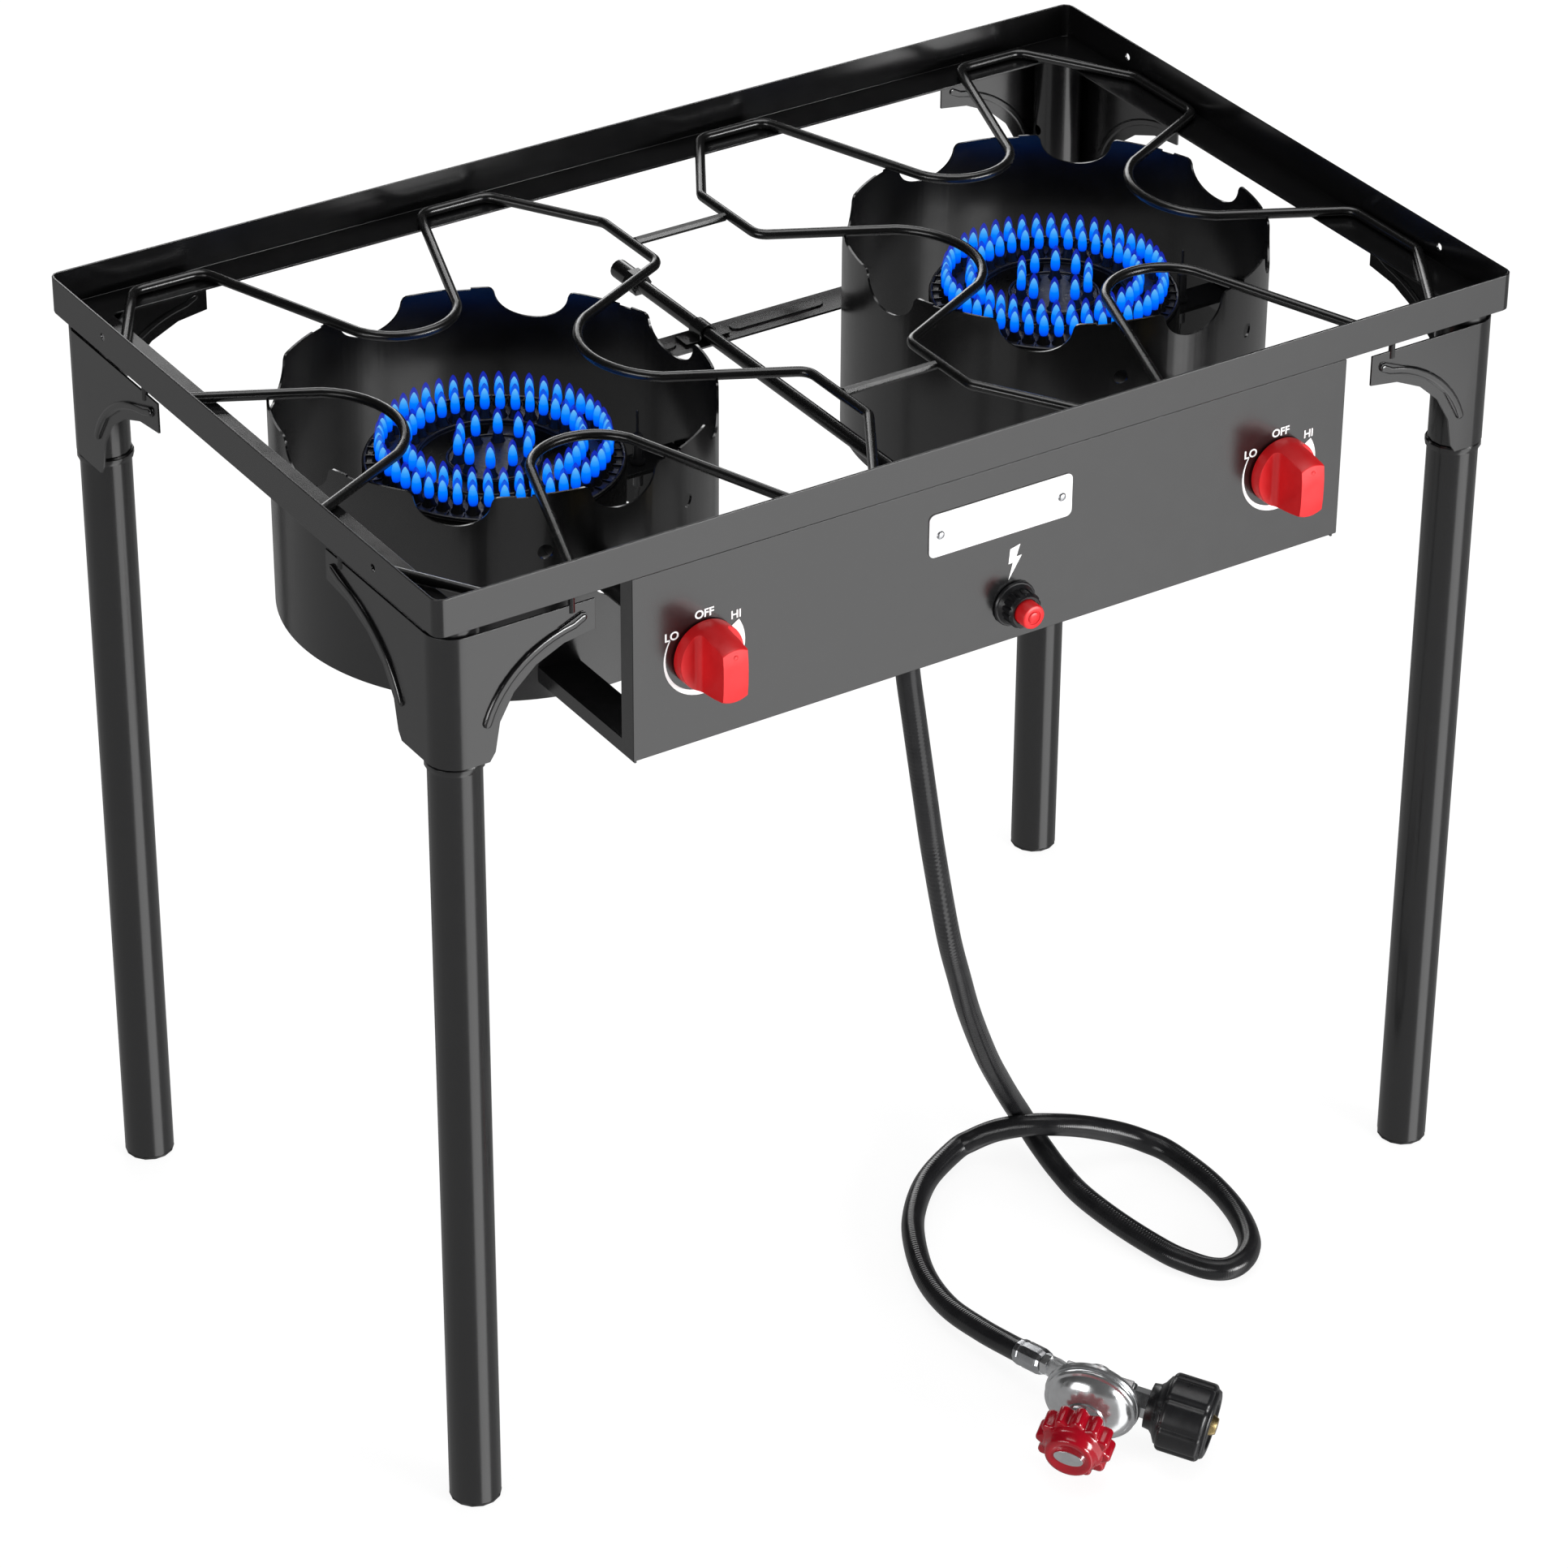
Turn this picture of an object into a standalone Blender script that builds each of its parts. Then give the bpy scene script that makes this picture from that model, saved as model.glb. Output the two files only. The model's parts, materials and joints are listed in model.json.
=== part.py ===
"""Two-burner outdoor propane stove on four legs, with its hose and regulator.

Metres, +Z up, front of the stove towards -Y, floor at z = 0. Each separate piece is one named object.
"""

import math

import bmesh
import bpy
from mathutils import Matrix, Vector

# ---- driving dimensions; each DROP is measured down from the tray's top edge --------------------
GAP = 0.0003  # between pieces that touch
SHEET = 0.0015  # sheet steel of the tray, brackets, panel and guards

TRAY_LENGTH = 0.800
TRAY_DEPTH = 0.500
TOP_HEIGHT = 0.680
WALL_HEIGHT = 0.0253
LEDGE_WIDTH = 0.0295
TRAY_CORNER = 0.007
TRAY_HOLE_RADIUS = 0.0025
TRAY_HOLE_Y = 0.175
TRAY_HOLE_DROP = 0.0125

WIRE_RADIUS = 0.003
BURNER_X = 0.216  # burner, guard, grate and knob centres from the middle
GRATE_HALF_LENGTH = 0.178
GRATE_HALF_DEPTH = 0.235
GRATE_CUT_X = 0.046
GRATE_CUT_Y = 0.076
GRATE_TIE_Y = 0.125
FINGER_BASE = 0.081
FINGER_NECK = 0.036
FINGER_NECK_Y = 0.107
FINGER_TIP_Y = 0.085
SIDE_FINGER_BASE = 0.090
SIDE_FINGER_NECK = 0.048
SIDE_FINGER_NECK_X = 0.096
SIDE_FINGER_TIP_X = 0.072
WIRE_BEND = 0.011

LEG_RADIUS = 0.017
TUBE_WALL = 0.0014
LEG_BEAD = 0.0016
BEAD_HEIGHT = 0.006
SPIGOT_LENGTH = 0.045
FOOT_FLANGE = 0.002
FOOT_PLUG = 0.020
SOCKET_HOLE_RADIUS = 0.0038
SOCKET_HOLE_DROP = 0.080

BRACKET_INSET = 0.0035
BRACKET_TOP_DROP = 0.032
BRACKET_END_DROP = 0.053
BRACKET_LOW_DROP = 0.122
BRACKET_ARC_DROP = 0.116
FRONT_WING_X = 0.290
FRONT_ARC_X = 0.360
SIDE_WING_Y = 0.109
SIDE_ARC_Y = 0.193
SPACER_RADIUS = 0.0022
RIB_OFFSET = 0.009
RIB_WIDTH = 0.0055
RIB_HEIGHT = 0.0016

PANEL_HALF_LENGTH = 0.2665
PANEL_BOTTOM_DROP = 0.152
PANEL_RETURN = 0.014

GUARD_RADIUS = 0.142
GUARD_TOP_DROP = 0.035
GUARD_BOTTOM_DROP = 0.167
NOTCH_DEPTH = 0.0185
NOTCH_WIDTH = 0.050
NOTCH_CORNER = 0.003
TAB_SLOT_WIDTH = 0.0095
TAB_SLOT_DEPTH = 0.0040
GUARD_HOLE_RADIUS = 0.005
GUARD_HOLE_DROP = 0.069

KNOB_DROP = 0.090
KNOB_RADIUS = 0.0225
KNOB_SKIRT = 0.0085
KNOB_REACH = 0.036
GRIP_WIDTH = 0.0170
GRIP_HEIGHT = 0.036
STEM_RADIUS = 0.004
STEM_FIT = 0.0004
PANEL_STEM_FIT = 0.002

BURNER_RADIUS = 0.084
BURNER_RING_INNER = 0.0485
BURNER_HUB = 0.031
BURNER_TOP_DROP = 0.072
BURNER_BOTTOM_DROP = 0.106
BURNER_ARM = 0.022
BURNER_ARM_ANGLES = (50, 200, 305)
NECK_RADIUS = 0.0140
NECK_END = 0.108
SUPPORT_WIDTH = 0.024
SUPPORT_SHEET = 0.003
SUPPORT_TAB = 0.016

VENTURI_TUBE = 0.0110
VENTURI_BELL = 0.0215
VENTURI_WALL = 0.0016
VENTURI_MOUTH = 0.197
VENTURI_THROAT = 0.168
VENTURI_PLUG = 0.012
VENTURI_FIT = 0.0004

MANIFOLD_DROP = 0.083
MANIFOLD_Y = 0.232
MANIFOLD_RADIUS = 0.006
BRANCH_RADIUS = 0.0078
HOSE_BRANCH_X = -0.055
HOSE_BRANCH_DROP = 0.108
VALVE_WIDTH = 0.026
VALVE_BACK = 0.217
ORIFICE_RADIUS = 0.0052
ORIFICE_END = 0.193

PIPE_RADIUS = 0.00475
PIPE_WALL = 0.001
PIPE_END = 0.183
REAR_HEX = 0.0085
REAR_GRIP = 0.008
REAR_HEX_END = 0.1855
REAR_NOSE = 0.196
REAR_CAP_RADIUS = 0.0068
REAR_CAP_END = 0.2045
BRANCH_REACH = 0.019
HOSE_FITTING_LENGTH = 0.0269

STRAP_Y = 0.097
STRAP_WIDTH = 0.026
CLIP_WIDTH = 0.014
CLIP_HALF = 0.017
CLIP_SHEET = 0.0015

ARM_RISE = 0.008
ARM_LIP = 0.0105
ARM_WIDTH = 0.027

IGNITER_X = 0.012
IGNITER_DROP = 0.126
BUTTON_RADIUS = 0.0085
BUTTON_FIT = 0.0004
IGNITER_WALL = 0.0012
NUT_RADIUS = 0.0128
BEZEL_RADIUS = 0.0155

ELECTRODE_X = 0.106
ELECTRODE_RADIUS = 0.0034

HOSE_RADIUS = 0.008
REGULATOR_CENTRE = Vector((-0.0146, -0.4016, 0.0363))
REGULATOR_INLET = Vector((0.627, -0.766, -0.141))
REGULATOR_KNOB = Vector((-0.777, -0.602, -0.184))

# lengths that follow from the ones above
HALF_X = TRAY_LENGTH / 2
HALF_Y = TRAY_DEPTH / 2
TRAY_BOTTOM = TOP_HEIGHT - WALL_HEIGHT
SOCKET_HOLE_Z = TOP_HEIGHT - SOCKET_HOLE_DROP
BRACKET_TOP = TOP_HEIGHT - BRACKET_TOP_DROP
BRACKET_END_Z = TOP_HEIGHT - BRACKET_END_DROP
BRACKET_LOW_Z = TOP_HEIGHT - BRACKET_LOW_DROP
BRACKET_ARC_Z = TOP_HEIGHT - BRACKET_ARC_DROP
PANEL_BOTTOM = TOP_HEIGHT - PANEL_BOTTOM_DROP
GUARD_TOP = TOP_HEIGHT - GUARD_TOP_DROP
GUARD_BOTTOM = TOP_HEIGHT - GUARD_BOTTOM_DROP
GUARD_HOLE_Z = TOP_HEIGHT - GUARD_HOLE_DROP
KNOB_Z = TOP_HEIGHT - KNOB_DROP
BURNER_TOP = TOP_HEIGHT - BURNER_TOP_DROP
BURNER_BOTTOM = TOP_HEIGHT - BURNER_BOTTOM_DROP
MANIFOLD_Z = TOP_HEIGHT - MANIFOLD_DROP
HOSE_BRANCH_LOW = TOP_HEIGHT - HOSE_BRANCH_DROP
IGNITER_Z = TOP_HEIGHT - IGNITER_DROP
ARM_TOP = PANEL_BOTTOM + ARM_RISE
WIRE_Z = TRAY_BOTTOM + SHEET + GAP + WIRE_RADIUS
LEG_INSET = BRACKET_INSET + SHEET + GAP + LEG_RADIUS  # the leg's axis from the tray's outer face
BRACKET_CORNER = LEG_RADIUS + GAP + SHEET
LEG_TOP = BRACKET_LOW_Z - BEAD_HEIGHT - GAP
LEG_X = HALF_X - LEG_INSET
LEG_Y = HALF_Y - LEG_INSET
KNOB_FRONT = HALF_Y + KNOB_REACH
CENTRE_SHIFT = (KNOB_FRONT - HALF_Y) / 2  # puts the middle of the stove's box at y = 0
PANEL_BACK = HALF_Y - SHEET
ROUND = 40  # sides of a guard's circle, a multiple of 8


# ---- scene and looks ----------------------------------------------------------------------------
for old in list(bpy.data.objects):
    bpy.data.objects.remove(old, do_unlink=True)

stove = bpy.data.collections.new("propane_burner_stand")
tools = bpy.data.collections.new("cutters")
bpy.context.scene.collection.children.link(stove)
bpy.context.scene.collection.children.link(tools)


def make_material(name, colour, roughness, metallic):
    material = bpy.data.materials.new(name)
    material.use_nodes = True
    shader = material.node_tree.nodes["Principled BSDF"]
    shader.inputs["Base Color"].default_value = (*colour, 1.0)
    shader.inputs["Roughness"].default_value = roughness
    shader.inputs["Metallic"].default_value = metallic
    return material


LOOKS = {
    "black_paint": ((0.035, 0.036, 0.038), 0.42, 0.0),
    "tray_paint": ((0.045, 0.046, 0.048), 0.38, 0.0),
    "wire_paint": ((0.030, 0.030, 0.032), 0.40, 0.0),
    "leg_paint": ((0.050, 0.051, 0.053), 0.36, 0.0),
    "foot_plastic": ((0.020, 0.020, 0.020), 0.60, 0.0),
    "cast_iron": ((0.050, 0.048, 0.046), 0.72, 0.3),
    "brass": ((0.62, 0.48, 0.20), 0.30, 1.0),
    "steel": ((0.60, 0.60, 0.60), 0.32, 1.0),
    "red_plastic": ((0.66, 0.012, 0.016), 0.30, 0.0),
    "black_plastic": ((0.018, 0.018, 0.018), 0.38, 0.0),
    "ceramic": ((0.85, 0.84, 0.80), 0.25, 0.0),
    "hose_rubber": ((0.016, 0.016, 0.017), 0.34, 0.0),
    "die_cast": ((0.55, 0.56, 0.57), 0.38, 0.9),
    "lead_cover": ((0.025, 0.025, 0.025), 0.50, 0.0),
}

root = bpy.data.objects.new("stove_origin", None)
root.location = (0.0, CENTRE_SHIFT, 0.0)
stove.objects.link(root)


# ---- modelling helpers --------------------------------------------------------------------------
def place(item, name, look=None, at=(0, 0, 0), turn=None, parent=None):
    """Name a new object, put it under the stove's origin and give it its own material."""
    item.name = name
    item.parent = parent or root
    item.location = at
    if turn is not None:
        item.rotation_euler = turn.to_euler() if isinstance(turn, Matrix) else turn
    if look:
        item.data.materials.clear()
        item.data.materials.append(make_material(name + "_paint", *LOOKS[look]))
    return item


def mesh_object(name, mesh, **where):
    item = bpy.data.objects.new(name, mesh)
    stove.objects.link(item)
    return place(item, name, **where)


def tidy_mesh(mesh):
    work = bmesh.new()
    work.from_mesh(mesh)
    bmesh.ops.remove_doubles(work, verts=work.verts, dist=1e-6)
    bmesh.ops.recalc_face_normals(work, faces=work.faces)
    work.to_mesh(mesh)
    work.free()


def curve_to_mesh(name, curve, **where):
    """Turn a curve into a welded mesh object at the same place."""
    holder = bpy.data.objects.new(name, curve)
    bpy.context.scene.collection.objects.link(holder)
    graph = bpy.context.evaluated_depsgraph_get()
    mesh = bpy.data.meshes.new_from_object(holder.evaluated_get(graph))
    bpy.data.objects.remove(holder, do_unlink=True)
    tidy_mesh(mesh)
    return mesh_object(name, mesh, **where)


def flat_outline(name, loops, low, high, **where):
    """A flat 2D outline, with holes if there are more loops, from local z = low to high."""
    curve = bpy.data.curves.new(name, "CURVE")
    curve.dimensions = "2D"
    curve.fill_mode = "BOTH"
    curve.extrude = (high - low) / 2
    for loop in loops:
        spline = curve.splines.new("POLY")
        spline.points.add(len(loop) - 1)
        for point, (x, y) in zip(spline.points, loop):
            point.co = (x, y, 0.0, 1.0)
        spline.use_cyclic_u = True
    item = curve_to_mesh(name, curve, **where)
    item.data.transform(Matrix.Translation((0, 0, (low + high) / 2)))
    return item


def rod(name, points, radius, sides=2, cyclic=False, **where):
    """A round wire or tube along points."""
    curve = bpy.data.curves.new(name, "CURVE")
    curve.dimensions = "3D"
    curve.bevel_depth = radius
    curve.bevel_resolution = sides
    curve.use_fill_caps = not cyclic
    spline = curve.splines.new("POLY")
    spline.points.add(len(points) - 1)
    for point, place_at in zip(spline.points, points):
        point.co = (*place_at, 1.0)
    spline.use_cyclic_u = cyclic
    return curve_to_mesh(name, curve, **where)


def turned(name, profile, steps=32, hollow=False, **where):
    """A lathe profile of (radius, height) pairs, run down the outer side, spun about local Z."""
    mesh = bpy.data.meshes.new(name)
    count = len(profile)
    edges = [(i, i + 1) for i in range(count - 1)]
    if hollow:
        edges.append((count - 1, 0))
    mesh.from_pydata([(radius, 0.0, height) for radius, height in profile], edges, [])
    item = mesh_object(name, mesh, **where)
    spin = item.modifiers.new("spin", "SCREW")
    spin.axis = "Z"
    spin.angle = 2 * math.pi
    spin.steps = steps
    spin.render_steps = steps
    spin.use_merge_vertices = True
    spin.merge_threshold = 0.00005
    return item


def block(name, low, high, **where):
    """A box between two opposite corners."""
    mesh = bpy.data.meshes.new(name)
    work = bmesh.new()
    bmesh.ops.create_cube(work, size=1.0)
    size = Vector(high) - Vector(low)
    bmesh.ops.scale(work, vec=size, verts=work.verts)
    bmesh.ops.translate(work, vec=(Vector(high) + Vector(low)) / 2, verts=work.verts)
    work.to_mesh(mesh)
    work.free()
    return mesh_object(name, mesh, **where)


def cylinder(name, start, end, radius, sides=24, **where):
    """A solid round bar between two points."""
    start, end = Vector(start), Vector(end)
    mesh = bpy.data.meshes.new(name)
    work = bmesh.new()
    bmesh.ops.create_cone(
        work, cap_ends=True, segments=sides, radius1=radius, radius2=radius, depth=(end - start).length
    )
    aim = Vector((0, 0, 1)).rotation_difference(end - start).to_matrix().to_4x4()
    bmesh.ops.transform(work, matrix=Matrix.Translation((start + end) / 2) @ aim, verts=work.verts)
    work.to_mesh(mesh)
    work.free()
    return mesh_object(name, mesh, **where)


def combine(target, tool, operation="DIFFERENCE"):
    """Cut a tool from a piece, or join it on, with a Boolean modifier."""
    for collection in list(tool.users_collection):
        collection.objects.unlink(tool)
    tools.objects.link(tool)
    tool.hide_render = True
    tool.display_type = "WIRE"
    step = target.modifiers.new(tool.name, "BOOLEAN")
    step.object = tool
    step.operation = operation
    step.solver = "EXACT"
    return target


def cut(target, *cutters):
    for tool in cutters:
        combine(target, tool, "DIFFERENCE")
    return target


def join(target, *extras):
    for tool in extras:
        combine(target, tool, "UNION")
    return target


def soften(item, width, segments=2, angle=40):
    step = item.modifiers.new("soft_edges", "BEVEL")
    step.width = width
    step.segments = segments
    step.limit_method = "ANGLE"
    step.angle_limit = math.radians(angle)
    return item


# local x, y, z axes for outlines that face the front (-Y) or an end (+X)
FACE_FRONT = Matrix(((1, 0, 0), (0, 0, -1), (0, 1, 0)))
FACE_END = Matrix(((0, 0, 1), (1, 0, 0), (0, 1, 0)))
ALONG_BACK = Matrix(((1, 0, 0), (0, 0, 1), (0, -1, 0)))  # local Z towards +Y


# ---- outline helpers ----------------------------------------------------------------------------
def arc(centre, radius, start, end, steps):
    turn = [math.radians(start + (end - start) * i / steps) for i in range(steps + 1)]
    return [(centre[0] + radius * math.cos(a), centre[1] + radius * math.sin(a)) for a in turn]


def circle(radius, sides=ROUND, centre=(0, 0)):
    return arc(centre, radius, 0, 360, sides)[:-1]


def rounded_rectangle(half_x, half_y, radius, steps=3):
    outline = []
    corners = ((1, 1, 0), (-1, 1, 90), (-1, -1, 180), (1, -1, 270))
    for sign_x, sign_y, first in corners:
        centre = (sign_x * (half_x - radius), sign_y * (half_y - radius))
        outline += arc(centre, radius, first, first + 90, steps)
    return outline


def sagitta_arc(start, tip_offset, end, steps):
    """Points of the shallow arc from start to end whose middle is tip_offset from the chord."""
    a, b = Vector(start), Vector(end)
    middle = (a + b) / 2
    half = (b - a).length / 2
    out = Vector(tip_offset)
    rise = out.length
    radius = (half * half + rise * rise) / (2 * rise)
    centre = middle + out.normalized() * (rise - radius)
    reach = math.asin(min(1.0, half / radius))
    along = (b - a).normalized()
    up = out.normalized()
    points = []
    for i in range(steps + 1):
        angle = -reach + 2 * reach * i / steps
        points.append(tuple(centre + along * radius * math.sin(angle) + up * radius * math.cos(angle)))
    return points


def round_corners(points, radius, steps=2):
    """Replace each corner of a closed outline by an arc; corners that turn little are kept."""
    result = []
    count = len(points)
    for i in range(count):
        here = Vector(points[i])
        before = Vector(points[i - 1]) - here
        after = Vector(points[(i + 1) % count]) - here
        turn = math.pi - before.angle(after)
        reach = radius * math.tan(turn / 2)
        limit = 0.48 * min(before.length, after.length)
        if math.degrees(turn) < 28 or limit < 0.001:
            result.append(tuple(here))
            continue
        reach = min(reach, limit)
        bend = reach / math.tan(turn / 2)
        enter = here + before.normalized() * reach
        leave = here + after.normalized() * reach
        inward = (before.normalized() + after.normalized()).normalized()
        centre = here + inward * (bend / math.cos(turn / 2))
        first = enter - centre
        last = leave - centre
        for k in range(steps + 1):
            share = k / steps
            sweep = first.angle(last)
            weight_a = math.sin((1 - share) * sweep) / math.sin(sweep)
            weight_b = math.sin(share * sweep) / math.sin(sweep)
            result.append(tuple(centre + first * weight_a + last * weight_b))
    return result


def band(points, half_width, steps=3):
    """The outline of a strip of even width with round ends along points."""
    route = [Vector(p) for p in points]
    left, right = [], []
    for i, here in enumerate(route):
        ahead = route[min(i + 1, len(route) - 1)] - route[max(i - 1, 0)]
        side = Vector((-ahead.y, ahead.x)).normalized() * half_width
        left.append(here + side)
        right.append(here - side)
    caps = []
    for tip, inner in ((route[-1], route[-2]), (route[0], route[1])):
        out = (tip - inner).normalized()
        side = Vector((-out.y, out.x))
        cap = []
        for k in range(1, steps):
            angle = math.pi * k / steps
            cap.append(tip + (side * math.cos(angle) + out * math.sin(angle)) * half_width)
        caps.append(cap)
    outline = left + caps[0] + right[::-1] + caps[1]
    return [tuple(p) for p in outline]


# ---- tray ---------------------------------------------------------------------------------------
def build_tray():
    outer = rounded_rectangle(HALF_X, HALF_Y, TRAY_CORNER)
    inner = rounded_rectangle(HALF_X - SHEET, HALF_Y - SHEET, TRAY_CORNER - SHEET)
    mouth = rounded_rectangle(HALF_X - LEDGE_WIDTH, HALF_Y - LEDGE_WIDTH, 0.004, 3)
    tray = flat_outline("tray_frame", [outer], TRAY_BOTTOM, TOP_HEIGHT, look="tray_paint")
    cut(
        tray,
        flat_outline("tray_inside", [inner], TRAY_BOTTOM + SHEET, TOP_HEIGHT + 0.01),
        flat_outline("tray_mouth", [mouth], TRAY_BOTTOM - 0.01, TOP_HEIGHT),
    )
    for sign in (-1, 1):
        at = (sign * TRAY_HOLE_Y, TOP_HEIGHT - TRAY_HOLE_DROP)
        ends = [(side * (HALF_X + 0.01), *at) for side in (-1, 1)]
        cut(tray, cylinder(f"tray_hole_{sign}", ends[0], ends[1], TRAY_HOLE_RADIUS, 12))


# ---- grate --------------------------------------------------------------------------------------
def grate_quarters():
    """The bent wire's centre line about the loop's own centre, anticlockwise from the +X run."""
    reach_x, reach_y = GRATE_HALF_LENGTH, GRATE_HALF_DEPTH
    top = [
        (reach_x, SIDE_FINGER_BASE),
        (reach_x, reach_y - GRATE_CUT_Y),
        (reach_x - GRATE_CUT_X, reach_y),
        (FINGER_BASE, reach_y),
    ]
    top += sagitta_arc(
        (FINGER_NECK, FINGER_NECK_Y), (0, FINGER_TIP_Y - FINGER_NECK_Y), (-FINGER_NECK, FINGER_NECK_Y), 5
    )
    left = [(-x, y) for x, y in reversed(top[:4])]
    tip = SIDE_FINGER_NECK_X - SIDE_FINGER_TIP_X
    left += sagitta_arc(
        (-SIDE_FINGER_NECK_X, SIDE_FINGER_NECK), (tip, 0), (-SIDE_FINGER_NECK_X, -SIDE_FINGER_NECK), 5
    )
    half = top + left
    other = [(-x, -y) for x, y in half]
    return half + other


def build_grate():
    route = round_corners(grate_quarters(), WIRE_BEND)
    for side, name in ((-1, "grate_left"), (1, "grate_right")):
        points = [(x, y, 0.0) for x, y in route]
        rod(
            name, points, WIRE_RADIUS, cyclic=True, look="wire_paint", at=(side * BURNER_X, 0, WIRE_Z)
        )
    reach = BURNER_X - GRATE_HALF_LENGTH - WIRE_RADIUS - GAP
    for side, name in ((-1, "grate_tie_front"), (1, "grate_tie_rear")):
        ends = [(-reach, 0, 0), (reach, 0, 0)]
        rod(name, ends, WIRE_RADIUS, look="wire_paint", at=(0, side * GRATE_TIE_Y, WIRE_Z))


# ---- corner brackets, leg sockets, legs and feet ------------------------------------------------
def wing_curve(end, low, steps=5):
    """The concave lower edge of a bracket wing, from its free end down to its low corner."""
    (end_x, end_z), (low_x, low_z) = end, low
    points = []
    for i in range(steps + 1):
        angle = math.pi / 2 * i / steps
        x = end_x + (low_x - end_x) * math.sin(angle)
        z = low_z + (end_z - low_z) * math.cos(angle)
        points.append((x, z))
    return points


def wing_rib(end, low):
    """The pressed rib that follows the lower edge."""
    edge = wing_curve(end, low)
    points = [(end[0] + RIB_OFFSET, BRACKET_TOP - 0.009)]
    for i, (x, z) in enumerate(edge[:-1]):
        ahead = Vector(edge[i + 1]) - Vector(edge[max(i - 1, 0)])
        normal = Vector((-ahead.y, ahead.x)).normalized()
        if normal.x < 0:
            normal.negate()
        if i:
            points.append((x + normal.x * RIB_OFFSET, z + normal.y * RIB_OFFSET))
    return points


def build_corner(name, sign_x, sign_y):
    outer_x, outer_y = HALF_X - BRACKET_INSET, HALF_Y - BRACKET_INSET
    bend = arc((outer_x - BRACKET_CORNER, outer_y - BRACKET_CORNER), BRACKET_CORNER, 0, 90, 6)
    inner = arc((outer_x - BRACKET_CORNER, outer_y - BRACKET_CORNER), BRACKET_CORNER - SHEET, 90, 0, 6)
    plan = [(outer_x, SIDE_WING_Y)] + bend + [(FRONT_WING_X, outer_y), (FRONT_WING_X, outer_y - SHEET)]
    plan += inner + [(outer_x - SHEET, SIDE_WING_Y)]
    plan = [(sign_x * x, sign_y * y) for x, y in plan]
    label = "bracket_" + name
    bracket = flat_outline(label, [plan], BRACKET_LOW_Z, BRACKET_TOP, look="black_paint")

    front_end, front_low = (FRONT_WING_X, BRACKET_END_Z), (FRONT_ARC_X, BRACKET_ARC_Z)
    side_end, side_low = (SIDE_WING_Y, BRACKET_END_Z), (SIDE_ARC_Y, BRACKET_ARC_Z)
    floor_z = BRACKET_LOW_Z - 0.01
    front_cut = [(front_end[0] - 0.01, floor_z), (front_end[0] - 0.01, front_end[1])]
    front_cut += wing_curve(front_end, front_low) + [(front_low[0] + 0.004, BRACKET_LOW_Z)]
    front_cut += [(front_low[0] + 0.004, floor_z)]
    front_cut = [(sign_x * x, z) for x, z in front_cut]
    side_cut = [(side_end[0] - 0.01, floor_z), (side_end[0] - 0.01, side_end[1])]
    side_cut += wing_curve(side_end, side_low) + [(side_low[0] + 0.004, BRACKET_LOW_Z)]
    side_cut += [(side_low[0] + 0.004, floor_z)]
    side_cut = [(sign_y * y, z) for y, z in side_cut]
    cut(
        bracket,
        flat_outline(
            label + "_front_cut", [front_cut], -0.006, 0.006, turn=FACE_FRONT, at=(0, sign_y * outer_y, 0)
        ),
        flat_outline(
            label + "_side_cut", [side_cut], -0.006, 0.006, turn=FACE_END, at=(sign_x * outer_x, 0, 0)
        ),
    )

    front_rib = [(sign_x * x, z) for x, z in band(wing_rib(front_end, front_low), RIB_WIDTH / 2)]
    side_rib = [(sign_y * y, z) for y, z in band(wing_rib(side_end, side_low), RIB_WIDTH / 2)]
    rib_low, rib_high = sorted((-sign_y * RIB_HEIGHT, sign_y * SHEET / 2))
    side_low_x, side_high_x = sorted((-sign_x * SHEET / 2, sign_x * RIB_HEIGHT))
    join(
        bracket,
        flat_outline(
            label + "_front_rib", [front_rib], rib_low, rib_high, turn=FACE_FRONT, at=(0, sign_y * outer_y, 0)
        ),
        flat_outline(
            label + "_side_rib",
            [side_rib],
            side_low_x,
            side_high_x,
            turn=FACE_END,
            at=(sign_x * outer_x, 0, 0),
        ),
    )
    # short studs hold the bracket a little below the tray
    stud_y, stud_x = outer_y - SHEET / 2, outer_x - SHEET / 2
    places = ((FRONT_WING_X + 0.016, stud_y), (stud_x, SIDE_WING_Y + 0.018))
    for i, (x, y) in enumerate(places):
        low = (sign_x * x, sign_y * y, BRACKET_TOP - 0.005)
        high = (sign_x * x, sign_y * y, TRAY_BOTTOM - GAP)
        join(bracket, cylinder(f"{label}_stud_{i}", low, high, SPACER_RADIUS, 8))


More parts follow.
